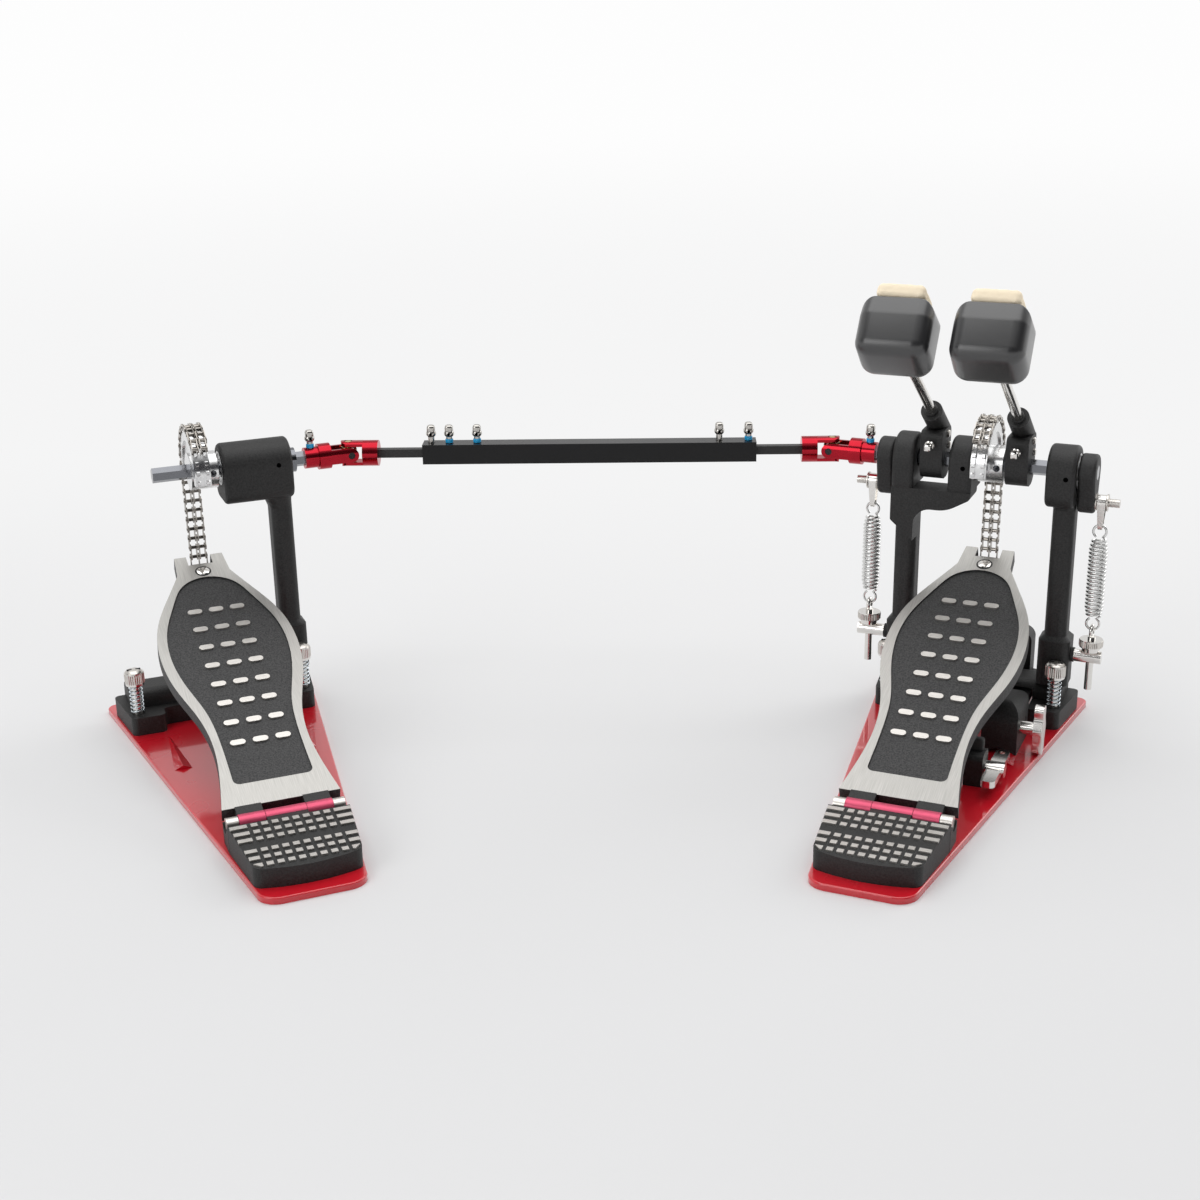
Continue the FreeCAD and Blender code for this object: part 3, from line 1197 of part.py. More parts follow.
def build_pedal(prefix, place):
    put(prefix + "_base_plate", place, base_plate())
    put(prefix + "_foot", place, foot(prefix == "primary"))
    put("heel_plates", place, heel_plate())
    put("hinge_centre_knuckles", place, centre_knuckle())
    put("hinge_pins", place, hinge_pin())
    put(prefix + "_hinge_knuckles", place, *board_knuckles())
    put(prefix + "_footboard", place, footboard())
    put(prefix + "_chain_run", place, chain_run())
    put(prefix + "_chain_wrap", place, chain_wrap())
    put(prefix + "_sprocket", place, sprocket())
    gaps = []
    for side, word in ((-1, "left"), (1, "right")):
        put("%s_%s_spur" % (prefix, word), place, spur(side))
        tube, gap = spur_spring(side)
        gaps.append(gap)
        put("spur_springs", place, tube)
    print("%s spur springs: %d curls each, least self gap %.2f mm" % (prefix, SPUR_TURNS, min(gaps)))


def build_primary():
    build_pedal("primary", PRIMARY)
    put("primary_left_post", PRIMARY, left_post())
    put("primary_right_post", PRIMARY, right_post())
    left_bearing = LEFT_EAR_X[0]
    inner_left = INNER_EAR_X[0]
    inner_right = INNER_EAR_X[1] - BEARING_W
    right_bearing = RIGHT_HOUSING_X[1] - BEARING_W
    places = (left_bearing, inner_left, inner_right, right_bearing)
    put("axle_bearings", PRIMARY, *[bearing(x) for x in places])
    middle = (INNER_EAR_X[0] + INNER_EAR_X[1]) / 2
    put("left_axle", PRIMARY, axle(PRIMARY_JOINT_X + YOKE_NECK + 2.5, middle - AXLE_GAP / 2,
                                   [journal_at(left_bearing), (inner_left - SEAT_GAP, middle)]))
    put("right_axle", PRIMARY, axle(middle + AXLE_GAP / 2, RIGHT_ROCKER_X + ROCKER_W,
                                    [(middle, INNER_EAR_X[1] + SEAT_GAP), journal_at(right_bearing)]))
    for word, hub_x in (("left", LEFT_HUB_X), ("right", RIGHT_HUB_X)):
        put(word + "_beater_hub", PRIMARY, beater_hub(hub_x))
        put(word + "_beater_shaft", PRIMARY, leaned(beater_shaft(), hub_x))
        put(word + "_beater_head", PRIMARY, leaned(beater_head(), hub_x))
        put(word + "_beater_felt", PRIMARY, leaned(beater_felt(), hub_x))
    sides = (("left", -1, LEFT_ROCKER_X, LEFT_SPRING_X, PRIMARY_LEFT_X),
             ("right", 1, RIGHT_ROCKER_X, RIGHT_SPRING_X, PRIMARY_RIGHT_X))
    for word, side, rocker_x, spring_x, post_x in sides:
        put(word + "_rocker", PRIMARY, *rocker(rocker_x, side))
        put(word + "_spring_clip", PRIMARY, spring_clip(spring_x))
        put(word + "_return_spring", PRIMARY, return_spring(spring_x))
        put(word + "_tension_rod", PRIMARY, *tension_rod(spring_x))
        put(word + "_swivel_bar", PRIMARY, swivel_bar(post_x, spring_x, side))
    put("hoop_clamp_block", PRIMARY, clamp_block())
    put("hoop_clamp_jaw", PRIMARY, clamp_jaw())
    put("clamp_wing_screw", PRIMARY, wing_screw())
    put("key_clip", PRIMARY, key_clip())
    put("drum_key", PRIMARY, drum_key())


def build_secondary():
    build_pedal("secondary", SECONDARY)
    put("secondary_post", SECONDARY, secondary_post())
    first = SECONDARY_HOUSING_X[0]
    second = SECONDARY_HOUSING_X[1] - BEARING_W
    put("axle_bearings", SECONDARY, bearing(first), bearing(second))
    bar = axle(STUB_X, SECONDARY_JOINT_X - YOKE_NECK - 2.5, [journal_at(first), journal_at(second)])
    shoulder_x = SECONDARY_HOUSING_X[1] + SHOULDER_GAP
    shoulder = rod_x(SHOULDER_R, shoulder_x, shoulder_x + SHOULDER_T, 0, AXLE_Z)
    put("secondary_axle", SECONDARY, fuse(bar, shoulder))


def build_shaft():
    put("primary_axle_yoke", PRIMARY, moved(axle_yoke(), PRIMARY_JOINT_X, 0, AXLE_Z))
    put("secondary_axle_yoke", SECONDARY, moved(half_turn(axle_yoke()), SECONDARY_JOINT_X, 0, AXLE_Z))
    put("primary_joint_cross", PRIMARY, moved(cross(), PRIMARY_JOINT_X, 0, AXLE_Z))
    put("secondary_joint_cross", SECONDARY, moved(cross(), SECONDARY_JOINT_X, 0, AXLE_Z))
    half = JOINT_SPAN / 2
    put("shaft_yokes", SHAFT, moved(shaft_yoke(), -half, 0, 0), moved(half_turn(shaft_yoke()), half, 0, 0))
    put("shaft_rods", SHAFT, *shaft_rods())
    put("shaft_tube", SHAFT, shaft_tube())
    put("shaft_key_screws", SHAFT, *[key_screw(x) for x in KEY_SCREWS_X])


build_primary()
build_secondary()
build_shaft()

os.makedirs("parts", exist_ok=True)
for name, shapes in sorted(nodes.items()):
    shape = shapes[0] if len(shapes) == 1 else Part.makeCompound(shapes)
    if not shape.isValid():
        print("invalid shape:", name)
    if len(shape.Solids) != len(shapes):
        print("solid count:", name, len(shape.Solids), "for", len(shapes))
    shape.exportStep("parts/%s.step" % name)
print("%d nodes, %d solids" % (len(nodes), sum(len(s) for s in nodes.values())))
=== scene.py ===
# %% [markdown]
# Double bass drum pedal. Two pedals stand in a V; the left one turns a shaft, and the shaft turns the
# second beater on the right one. The solids come from the construction model, in metres. This lesson
# gives them their finish and adds what is too fine for a solid: chain links, screws, knurls, felt and
# springs.

# %% Load the frame
import json
import math
import bmesh
import bpy
from mathutils import Matrix, Vector
from mathutils import noise as value_noise


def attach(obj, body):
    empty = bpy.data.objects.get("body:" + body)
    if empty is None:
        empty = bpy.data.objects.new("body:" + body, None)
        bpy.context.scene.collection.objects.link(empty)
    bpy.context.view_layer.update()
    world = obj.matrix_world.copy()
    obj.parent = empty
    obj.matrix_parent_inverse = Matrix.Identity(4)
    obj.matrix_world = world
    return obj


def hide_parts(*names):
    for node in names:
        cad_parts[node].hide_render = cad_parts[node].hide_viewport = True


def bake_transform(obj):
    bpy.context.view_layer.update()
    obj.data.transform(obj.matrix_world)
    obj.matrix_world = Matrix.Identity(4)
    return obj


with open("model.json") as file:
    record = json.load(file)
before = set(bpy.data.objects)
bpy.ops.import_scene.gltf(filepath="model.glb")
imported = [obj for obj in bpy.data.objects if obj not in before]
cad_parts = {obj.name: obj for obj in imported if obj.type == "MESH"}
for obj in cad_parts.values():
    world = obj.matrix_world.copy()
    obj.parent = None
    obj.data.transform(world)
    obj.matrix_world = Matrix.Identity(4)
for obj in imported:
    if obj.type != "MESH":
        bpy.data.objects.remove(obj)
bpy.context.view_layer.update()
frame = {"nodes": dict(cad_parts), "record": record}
nodes = frame["nodes"]

# %% [markdown]
# Each pedal is drawn in its own frame, in millimetres: x along its axle, y from heel to drum, z up, with
# x = 0 in the chain's plane. A matrix puts that frame in its place. Working like this keeps the numbers
# of the two pedals the same, as they are on the real rig, where most castings are shared.

# %% Places of the pedals, the shaft and the beaters
MM = 0.001
AXLE_Z = 168.0
ROD_RISE = 24.2
BEATER_LEAN = 56.0
BOARD_TILT = 19.7


def turned(degrees, axis):
    """A turn about one axis."""
    return Matrix.Rotation(math.radians(degrees), 4, axis)


def shift(x, y, z):
    """A move along the three axes."""
    return Matrix.Translation((x, y, z))


def placed(yaw, x, y, z=0.0):
    """From millimetres in a turned frame to metres in the object's frame."""
    return Matrix.Translation(Vector((x, y, z)) * MM) @ turned(yaw, "Z") @ Matrix.Scale(MM, 4)


def leaned(x):
    """The frame of a beater at rest, z along its shaft, in one pedal's millimetres."""
    return shift(x, 0.0, AXLE_Z + ROD_RISE) @ turned(BEATER_LEAN, "X")


PRIMARY = placed(-22.0, 44.766, 110.798)
SECONDARY = placed(24.0, -457.235, 107.959)
SHAFT = placed(0.0, -207.380, 148.633, AXLE_Z)
PEDALS = (("primary", PRIMARY), ("secondary", SECONDARY))
BOARD = shift(0.0, -195.0, 22.6) @ turned(BOARD_TILT, "X")
BEATERS = (("left", -33.0), ("right", 20.8))
SPRING_SIDES = (("left", -72.2), ("right", 72.7))
apart = (PRIMARY.translation - SECONDARY.translation).length / MM
print("axles", AXLE_Z, "mm up, pedals", round(apart), "mm apart")

# %% [markdown]
# A node tree is easier to read as a formula. This small class wraps one output socket, so that plus,
# minus, times and divide between two of them, or with a plain number, add the Math node that does it.
# Any other node comes from one method.

# %% A socket that does arithmetic
class Value:
    """An output socket of a node tree."""

    def __init__(self, tree, socket):
        self.tree = tree
        self.socket = socket

    def node(self, kind, inputs=None, output=0, **settings):
        """Adds any node to the tree; inputs are named or numbered, and an output is chosen the same way."""
        made = self.tree.nodes.new(kind)
        for name, setting in settings.items():
            setattr(made, name, setting)
        for key, entry in (inputs or {}).items():
            linked = entry if isinstance(entry, list) else [entry]
            if isinstance(linked[0], Value):
                for one in linked:
                    self.tree.links.new(one.socket, made.inputs[key])
            else:
                made.inputs[key].default_value = entry
        return Value(self.tree, made.outputs[output])

    def math(self, operation, first, second=0.0):
        """A Math node on two values or numbers."""
        return self.node("ShaderNodeMath", {0: first, 1: second}, operation=operation)

    def __add__(self, other):
        return self.math("ADD", self, other)

    def __radd__(self, other):
        return self.math("ADD", other, self)

    def __sub__(self, other):
        return self.math("SUBTRACT", self, other)

    def __rsub__(self, other):
        return self.math("SUBTRACT", other, self)

    def __mul__(self, other):
        return self.math("MULTIPLY", self, other)

    def __rmul__(self, other):
        return self.math("MULTIPLY", other, self)

    def __truediv__(self, other):
        return self.math("DIVIDE", self, other)

    def __rtruediv__(self, other):
        return self.math("DIVIDE", other, self)


# %% [markdown]
# Real finishes are never one flat colour: paint has a faint orange peel, powder coat has a fine grain,
# and plated steel is a little duller in places. A picture could be wrapped round each piece, but a noise
# in the object's own coordinates needs no unwrapping, and its pattern stays on the piece when it moves.

# %% Finishes from noise
GRAIN_HEIGHT = 0.0002


def mixed(factor, first, second):
    """A colour between two, as a socket."""
    return factor.node("ShaderNodeMix", {0: factor, 6: first, 7: second}, output=2, data_type="RGBA")


def shade(colour, factor):
    """A colour made darker or lighter, with full cover."""
    return tuple(min(1.0, channel * factor) for channel in colour) + (1.0,)


def finish_parts(name):
    """A new material with its tree, its surface node and its object coordinates."""
    made = bpy.data.materials.new(name)
    made.use_nodes = True
    tree = made.node_tree
    surface = tree.nodes["Principled BSDF"]
    place = Value(tree, tree.nodes.new("ShaderNodeTexCoord").outputs["Object"])
    return made, tree, surface, place


def noise(place, scale, detail=2.0):
    """A soft noise between 0 and 1."""
    given = {"Vector": place, "Scale": scale, "Detail": detail}
    return place.node("ShaderNodeTexNoise", given, output="Fac")


def sharpened(value, contrast):
    """Spreads a noise that stays near its middle."""
    return (value - 0.5) * contrast + 0.5


def relief(height, strength):
    """The normal of a surface with a fine relief."""
    given = {"Height": height, "Strength": strength, "Distance": GRAIN_HEIGHT}
    return height.node("ShaderNodeBump", given, output="Normal")


def finish(name, colour, roughness, metallic=0.0, spread=0.12, patch=60.0, contrast=1.0, dull=0.08,
           grain=1800.0, bump=0.0, coat=0.0, coat_roughness=0.05, specular=0.5):
    """Noise varies the colour and the roughness in patches, and a finer one gives the surface its grain."""
    made, tree, surface, place = finish_parts(name)
    patches = sharpened(noise(place, patch), contrast)
    colours = mixed(patches, shade(colour, 1.0 - spread), shade(colour, 1.0 + spread))
    rough = roughness + (patches - 0.5) * dull
    tree.links.new(colours.socket, surface.inputs["Base Color"])
    tree.links.new(rough.socket, surface.inputs["Roughness"])
    surface.inputs["Metallic"].default_value = metallic
    surface.inputs["Specular IOR Level"].default_value = specular
    surface.inputs["Coat Weight"].default_value = coat
    surface.inputs["Coat Roughness"].default_value = coat_roughness
    if bump:
        tree.links.new(relief(noise(place, grain, 1.0), bump).socket, surface.inputs["Normal"])
    return made


# %% [markdown]
# The base plates are gloss red under a clear coat; the joints are anodised, so their red has the gleam
# of the metal below it. Castings are powder-coated, with a speckle that breaks up the light. Each finish
# is one call that says how it differs, so they are easy to compare.

# %% Paint, plastic, rubber and felt
base_red = finish("base_red", (0.62, 0.006, 0.018), 0.28, spread=0.06, patch=14.0, grain=90.0, bump=0.05,
                  coat=1.0)
anodised_red = finish("anodised_red", (0.40, 0.012, 0.024), 0.15, metallic=0.9, patch=150.0)
hinge_red = finish("hinge_red", (0.66, 0.085, 0.165), 0.34, metallic=0.5, patch=200.0, grain=3000.0,
                   bump=0.05)
casting_black = finish("casting_black", (0.0115, 0.0113, 0.0112), 0.55, spread=0.8, patch=1000.0,
                       contrast=3.0, dull=0.1, grain=1500.0, bump=0.7)
rod_black = finish("rod_black", (0.014, 0.014, 0.014), 0.45, patch=90.0, grain=3000.0, bump=0.3)
tube_black = finish("tube_black", (0.008, 0.008, 0.0085), 0.24, patch=60.0, grain=2500.0, bump=0.05,
                    specular=0.25)
head_black = finish("head_black", (0.016, 0.016, 0.017), 0.32, patch=40.0, grain=4000.0, bump=0.1,
                    coat=0.45, coat_roughness=0.28, specular=0.8)
rubber_black = finish("rubber_black", (0.010, 0.010, 0.010), 0.6, patch=150.0)
# Painted shade: a black that reflects nothing is laid over holes, in place of the shade inside them.
hole_shade_black = finish("hole_shade_black", (0.001, 0.001, 0.001), 0.9, patch=150.0, specular=0.0)
threadlock = finish("threadlock", (0.01, 0.36, 0.70), 0.35, patch=500.0, spread=0.2)
felt_cream = finish("felt_cream", (0.97, 0.84, 0.635), 0.95, spread=0.03, patch=420.0, grain=2600.0,
                    bump=0.3)
print(len(bpy.data.materials), "materials with the paints")

# %% [markdown]
# Nickel, steel and brass are the same kind of material with another tint. What tells them apart is
# mostly how sharp their reflections are: a plated pin is nearly a mirror, a pressed washer is satin, and
# a turned sprocket is wavy, so it gets a coarse relief.

# %% Metals
bright_nickel = finish("bright_nickel", (0.80, 0.78, 0.75), 0.14, metallic=1.0, spread=0.05, patch=120.0)
satin_nickel = finish("satin_nickel", (0.66, 0.63, 0.59), 0.30, metallic=1.0, spread=0.12, patch=300.0)
screw_nickel = finish("screw_nickel", (0.52, 0.50, 0.47), 0.20, metallic=1.0, spread=0.12, patch=300.0)
chain_nickel = finish("chain_nickel", (0.36, 0.335, 0.305), 0.22, metallic=1.0, spread=0.25, patch=800.0)
bearing_steel = finish("bearing_steel", (0.60, 0.60, 0.60), 0.30, metallic=1.0, patch=200.0)
spring_steel = finish("spring_steel", (0.74, 0.74, 0.73), 0.18, metallic=1.0, spread=0.06, patch=250.0)
spur_steel = finish("spur_steel", (0.72, 0.78, 0.82), 0.16, metallic=1.0, spread=0.06, patch=250.0)
axle_steel = finish("axle_steel", (0.19, 0.195, 0.21), 0.16, metallic=1.0, spread=0.06, patch=250.0)
sprocket_silver = finish("sprocket_silver", (0.74, 0.74, 0.74), 0.22, metallic=1.0, spread=0.08,
                         patch=180.0, grain=260.0, bump=0.35)
cross_brass = finish("cross_brass", (0.62, 0.45, 0.20), 0.28, metallic=1.0, patch=160.0)
cast_silver = finish("cast_silver", (0.66, 0.635, 0.60), 0.34, metallic=0.9, spread=0.08, patch=180.0,
                     grain=2500.0, bump=0.08)
print(len(bpy.data.materials), "materials with the metals")

# %% [markdown]
# The footboard is one casting in two finishes. Its top face is ground after painting, so the rim shows
# bare metal with fine lines, while the sunk panel and the sides keep their paint. How far a point lies
# below the top face tells the finishes apart, so no picture has to be wrapped round the board.

# %% Footboard finish
GROUND_DEPTH = 0.00012
LINES_ACROSS = 2600.0
LINES_ALONG = 60.0
PAINT_GRAIN = 1100.0


def board_finish(name, place_matrix):
    """Ground metal on the board's top face and speckled paint below it."""
    made, tree, surface, place = finish_parts(name)
    board = place_matrix @ BOARD
    across, along, upward = [board.col[i].xyz.normalized() for i in range(3)]
    top = board.translation.dot(upward)

    def measured(axis):
        return place.node("ShaderNodeVectorMath", {0: place, 1: axis}, output="Value",
                          operation="DOT_PRODUCT")

    height = measured(upward) - top
    ground = height.math("GREATER_THAN", height, -GROUND_DEPTH)
    fine = measured(across) * LINES_ACROSS
    slow = measured(along) * LINES_ALONG
    lines = noise(place.node("ShaderNodeCombineXYZ", {0: fine, 1: slow}), 1.0)
    grain = noise(place, PAINT_GRAIN, 1.0)
    metal = mixed(sharpened(lines, 2.0), (0.40, 0.39, 0.37, 1.0), (0.54, 0.53, 0.505, 1.0))
    paint = mixed(sharpened(grain, 3.0), (0.012, 0.012, 0.0125, 1.0), (0.052, 0.0515, 0.052, 1.0))
    metallic = ground * 0.85
    rough = 0.58 - ground * 0.16 + (lines - 0.5) * 0.1
    tree.links.new(mixed(ground, paint, metal).socket, surface.inputs["Base Color"])
    tree.links.new(metallic.socket, surface.inputs["Metallic"])
    tree.links.new(rough.socket, surface.inputs["Roughness"])
    tree.links.new(relief(grain * (1.0 - ground), 0.4).socket, surface.inputs["Normal"])
    return made


# %% [markdown]
# Every solid gets the finish of its material. The names of the record's material slots say which solids
# are painted, plated or cast, so the second list only names the exceptions.

# %% Finishes on the solids
SLOT_FINISH = {
    "base_red": base_red, "anodised_red": anodised_red, "hinge_red": hinge_red, "rod_black": rod_black,
    "casting_black": casting_black, "head_black": head_black, "felt_cream": felt_cream,
    "bright_nickel": bright_nickel, "bearing_steel": bearing_steel, "spring_steel": spring_steel,
    "cross_brass": cross_brass,
}
NODE_FINISH = {
    "primary_sprocket": sprocket_silver, "secondary_sprocket": sprocket_silver,
    "left_axle": axle_steel, "right_axle": axle_steel, "secondary_axle": axle_steel,
    "hinge_pins": satin_nickel, "shaft_tube": tube_black,
}
for prefix, place in PEDALS:
    NODE_FINISH[prefix + "_footboard"] = board_finish(prefix + "_board", place)
for part in frame["record"]["subparts"]:
    name = part["node"]
    solid = nodes[name].data
    solid.materials.clear()
    solid.materials.append(NODE_FINISH.get(name) or SLOT_FINISH[part["material_slot"]])

# %% [markdown]
# Some solids are two materials in one: the rockers are powder-coated castings with a plated pin, the
# ends of the joint's cross are blackened, and the hinge's leaves are black up to the red barrel. Such a
# solid could be cut in two, but it is enough to give the faces past a certain place the second finish.

# %% Second finishes
ROCKER_FACE_X = 69.0
CROSS_END = 7.0
HINGE_AXIS = Vector((0.0, -204.0, 17.0))
BARREL_R = 5.2
LEAF_REACH = 60.0


def second_finish(name, place, material, chosen):
    """Gives the faces whose middle passes a test, in the pedal's millimetres, another finish."""
    solid = nodes[name]
    if material.name not in solid.data.materials:
        solid.data.materials.append(material)
    back = place.inverted() @ solid.matrix_world
    count = 0
    for face in solid.data.polygons:
        if chosen(back @ face.center):
            face.material_index = 1
            count += 1
    print(name, count, "faces in", material.name)


def on_leaf(at):
    """Whether a point of this pedal's hinge lies off the barrel."""
    arm = at - HINGE_AXIS
    return arm.length < LEAF_REACH and arm.yz.length > BARREL_R


for word, x in SPRING_SIDES:
    second_finish(word + "_rocker", PRIMARY, satin_nickel, lambda at: abs(at.x) > ROCKER_FACE_X)
for prefix, place in PEDALS:
    second_finish(prefix + "_joint_cross", place, rubber_black, lambda at: abs(at.y) > CROSS_END)
    second_finish(prefix + "_hinge_knuckles", place, casting_black, on_leaf)
    second_finish("hinge_centre_knuckles", place, casting_black, on_leaf)

# %% [markdown]
# The fine pieces are drawn as small shapes: a list of points and a list of faces, in millimetres. A
# lathe turns a profile round an axis, as a real lathe makes screws and nuts; a slab is a stamped plate.
# Shapes are moved and joined before they become a mesh, so each finished piece is one plain mesh.

# %% Small shapes
ALONG_X = turned(90, "Y")
FLAT = turned(-90, "Y")


def lathe(profile, steps=16):
    """Turns (radius, height) pairs round z and closes both ends."""
    points = []
    faces = []
    for radius, height in profile:
        for step in range(steps):
            angle = 2 * math.pi * step / steps
            points.append(Vector((radius * math.cos(angle), radius * math.sin(angle), height)))
    for ring in range(len(profile) - 1):
        for step in range(steps):
            this = ring * steps + step
            after = ring * steps + (step + 1) % steps
            faces.append((this, after, after + steps, this + steps))
    faces.append(tuple(reversed(range(steps))))
    faces.append(tuple(range((len(profile) - 1) * steps, len(profile) * steps)))
    return points, faces


def slab(outline, low, high):
    """A plate of the given outline in y and z, between two places along x."""
    count = len(outline)
    points = [Vector((x, y, z)) for x in (low, high) for y, z in outline]
    faces = [tuple(reversed(range(count))), tuple(range(count, 2 * count))]
    faces += [(i, (i + 1) % count, count + (i + 1) % count, count + i) for i in range(count)]
    return points, faces


def oblong(y, z):
    """The corners of a rectangle round the origin."""
    return [(-y / 2, -z / 2), (y / 2, -z / 2), (y / 2, z / 2), (-y / 2, z / 2)]


def brick(x, y, z):
    """A plain block round the origin."""
    return slab(oblong(y, z), -x / 2, x / 2)


def moved(shape, matrix):
    """A shape in another place."""
    points, faces = shape
    return [matrix @ point for point in points], faces


def joined(*shapes):
    """Several shapes as one."""
    points = []
    faces = []
    for more_points, more_faces in shapes:
        faces += [tuple(len(points) + i for i in face) for face in more_faces]
        points += more_points
    return points, faces


print("a brick has", len(brick(1, 1, 1)[1]), "faces")

# %% [markdown]
# Cast and moulded pieces have no sharp edges. A Bevel modifier could round them, but where the radius is
# large, as on the beater heads, it is steadier to draw the round outline itself. These helpers round the
# corners of an outline, move its sides inwards, and pull the edges of a block onto small spheres.

# %% Rounded outlines and blocks
def corner(corners, i):
    """One corner of an outline, and the directions to the corners before and after it."""
    at = Vector(corners[i])
    back = (Vector(corners[i - 1]) - at).normalized()
    on = (Vector(corners[(i + 1) % len(corners)]) - at).normalized()
    return at, back, on


def rounded(corners, radii, steps=6):
    """The outline through corners (in y and z), each rounded by its radius."""
    outline = []
    for i, radius in enumerate(radii):
        at, back, on = corner(corners, i)
        half = back.angle(on) / 2
        reach = radius / math.tan(half)
        centre = at + (back + on).normalized() * radius / math.sin(half)
        first = at + back * reach - centre
        last = at + on * reach - centre
        for step in range(steps + 1):
            outline.append(tuple(centre + first.slerp(last, step / steps) * radius))
    return outline


def shrunk(corners, by):
    """The corners of an outline whose sides all move inwards."""
    result = []
    for i in range(len(corners)):
        at, back, on = corner(corners, i)
        result.append(tuple(at + (back + on).normalized() * by / math.sin(back.angle(on) / 2)))
    return result


def rounded_brick(x, y, z, radius, cuts):
    """A block with round edges: points of a cut cube are pulled onto spheres at its corners."""
    points = []
    faces = []
    halves = Vector((x, y, z)) / 2
    for axis in range(3):
        for side in (-1, 1):
            first = len(points)
            for i in range(cuts + 1):
                for j in range(cuts + 1):
                    flat = [0.0, 0.0, 0.0]
                    flat[axis] = side
                    flat[(axis + 1) % 3] = 2 * i / cuts - 1
                    flat[(axis + 2) % 3] = 2 * j / cuts - 1
                    full = Vector([a * b for a, b in zip(flat, halves)])
                    inner = Vector([max(-h + radius, min(h - radius, c)) for c, h in zip(full, halves)])
                    away = full - inner
                    points.append(inner + away.normalized() * radius if away.length else full)
            for i in range(cuts):
                for j in range(cuts):
                    a = first + i * (cuts + 1) + j
                    faces.append((a, a + 1, a + cuts + 2, a + cuts + 1))
    return points, faces


# %% [markdown]
# A shape becomes a mesh in one place, so that every piece is treated alike: double points are welded,
# faces turned outwards, and edges kept sharp only where two faces meet at a clear angle. The place of a
# piece goes into its points, and its object stays at the origin.

# %% From a shape to a piece
WELD = 1e-4


def mesh_of(name, shape, smooth_deg=35.0):
    """A mesh with outward faces, smooth where they meet gently."""
    points, faces = shape
    mesh = bpy.data.meshes.new(name)
    mesh.from_pydata(points, [], faces)
    work = bmesh.new()
    work.from_mesh(mesh)
    bmesh.ops.remove_doubles(work, verts=work.verts, dist=WELD)
    bmesh.ops.recalc_face_normals(work, faces=work.faces)
    work.to_mesh(mesh)
    work.free()
    mesh.shade_smooth()
    mesh.set_sharp_from_angle(angle=math.radians(smooth_deg))
    return mesh


def piece(name, mesh, material, place=None):
    """Puts a mesh in the scene, with its place in its points."""
    if place is not None:
        mesh.transform(place)
    made = bpy.data.objects.new(name, mesh)
    bpy.context.scene.collection.objects.link(made)
    if material is not None:
        mesh.materials.clear()
        mesh.materials.append(material)
    return made


patterns = []


def pattern(name, shape):
    """A shape that a tree repeats; it is taken away once the pieces are made."""
    patterns.append(piece(name, mesh_of(name, shape), None))
    return patterns[-1]


# %% [markdown]
# Many pieces of a pedal come in numbers: links, ridges, blocks, screws, coils. Geometry nodes lay them
# out from a few named inputs, which is lighter than copying objects by hand. Each tree is built once,
# gets its inputs by the sockets' identifiers, and is then turned into a plain mesh, so nothing is left
# to be worked out later.

# %% Trees and how they are run
def new_tree(name, inputs):
    """A geometry tree and its inputs as values, by name."""
    tree = bpy.data.node_groups.new(name, "GeometryNodeTree")
    tree.interface.new_socket("Geometry", in_out="INPUT", socket_type="NodeSocketGeometry")
    for label, kind in inputs + [("Material", "Material")]:
        tree.interface.new_socket(label, in_out="INPUT", socket_type="NodeSocket" + kind)
    tree.interface.new_socket("Geometry", in_out="OUTPUT", socket_type="NodeSocketGeometry")
    entry = tree.nodes.new("NodeGroupInput")
    return tree, {socket.name: Value(tree, socket) for socket in entry.outputs if socket.name}


def close_tree(tree, geometry, material):
    """Ends a tree with real geometry in its material."""
    real = geometry.node("GeometryNodeRealizeInstances", {"Geometry": geometry})
    painted = real.node("GeometryNodeSetMaterial", {"Geometry": real, "Material": material})
    leave = tree.nodes.new("NodeGroupOutput")
    tree.links.new(painted.socket, leave.inputs[0])
    return tree


def shape_of(entry):
    """The geometry of an object that is an input of the tree."""
    return entry.node("GeometryNodeObjectInfo", {"Object": entry}, output="Geometry")


def laid_on(points, stamp, **more):
    """One copy of a stamp on each point."""
    inputs = {"Points": points, "Instance": stamp, **more}
    return stamp.node("GeometryNodeInstanceOnPoints", inputs, output="Instances")


def grown(name, tree, values, place, points=None, edges=(), axes=None, smooth_deg=35.0):
    """Runs a tree on points in millimetres and keeps the result as a plain mesh piece."""
    mesh = bpy.data.meshes.new(name)
    mesh.from_pydata(points or [], list(edges), [])
    if axes:
        attribute = mesh.attributes.new("axis", "FLOAT_VECTOR", "POINT")
        for entry, axis in zip(attribute.data, axes):
            entry.vector = axis
    made = bpy.data.objects.new(name, mesh)
    bpy.context.scene.collection.objects.link(made)
    modifier = made.modifiers.new("Layout", "NODES")
    modifier.node_group = tree
    for item in tree.interface.items_tree:
        if item.in_out == "INPUT" and item.name in values:
            modifier[item.identifier] = values[item.name]
    bpy.context.view_layer.update()
    ready = made.evaluated_get(bpy.context.evaluated_depsgraph_get())
    result = bpy.data.meshes.new_from_object(ready)
    made.modifiers.remove(modifier)
    made.data = result
    result.name = name
    result.transform(place)
    result.shade_smooth()
    result.set_sharp_from_angle(angle=math.radians(smooth_deg))
    return made


# %% [markdown]
# Three trees put a stamp in many places: on a list of points, each with its own direction, as screws
# stand; in rows and columns, as blocks are cast on a plate; and round a circle, as a knurling wheel
# presses its ridges.

# %% Trees for screws, blocks and ridges
def stamps_tree():
    """One stamp on each point, its z along the point's axis."""
    tree, given = new_tree("Stamps on points", [("Stamp", "Object")])
    stamp = shape_of(given["Stamp"])
    axis = stamp.node("GeometryNodeInputNamedAttribute", {"Name": "axis"}, data_type="FLOAT_VECTOR")
    turn = axis.node("FunctionNodeAlignRotationToVector", {"Vector": axis}, axis="Z")
    return close_tree(tree, laid_on(given["Geometry"], stamp, Rotation=turn), given["Material"])


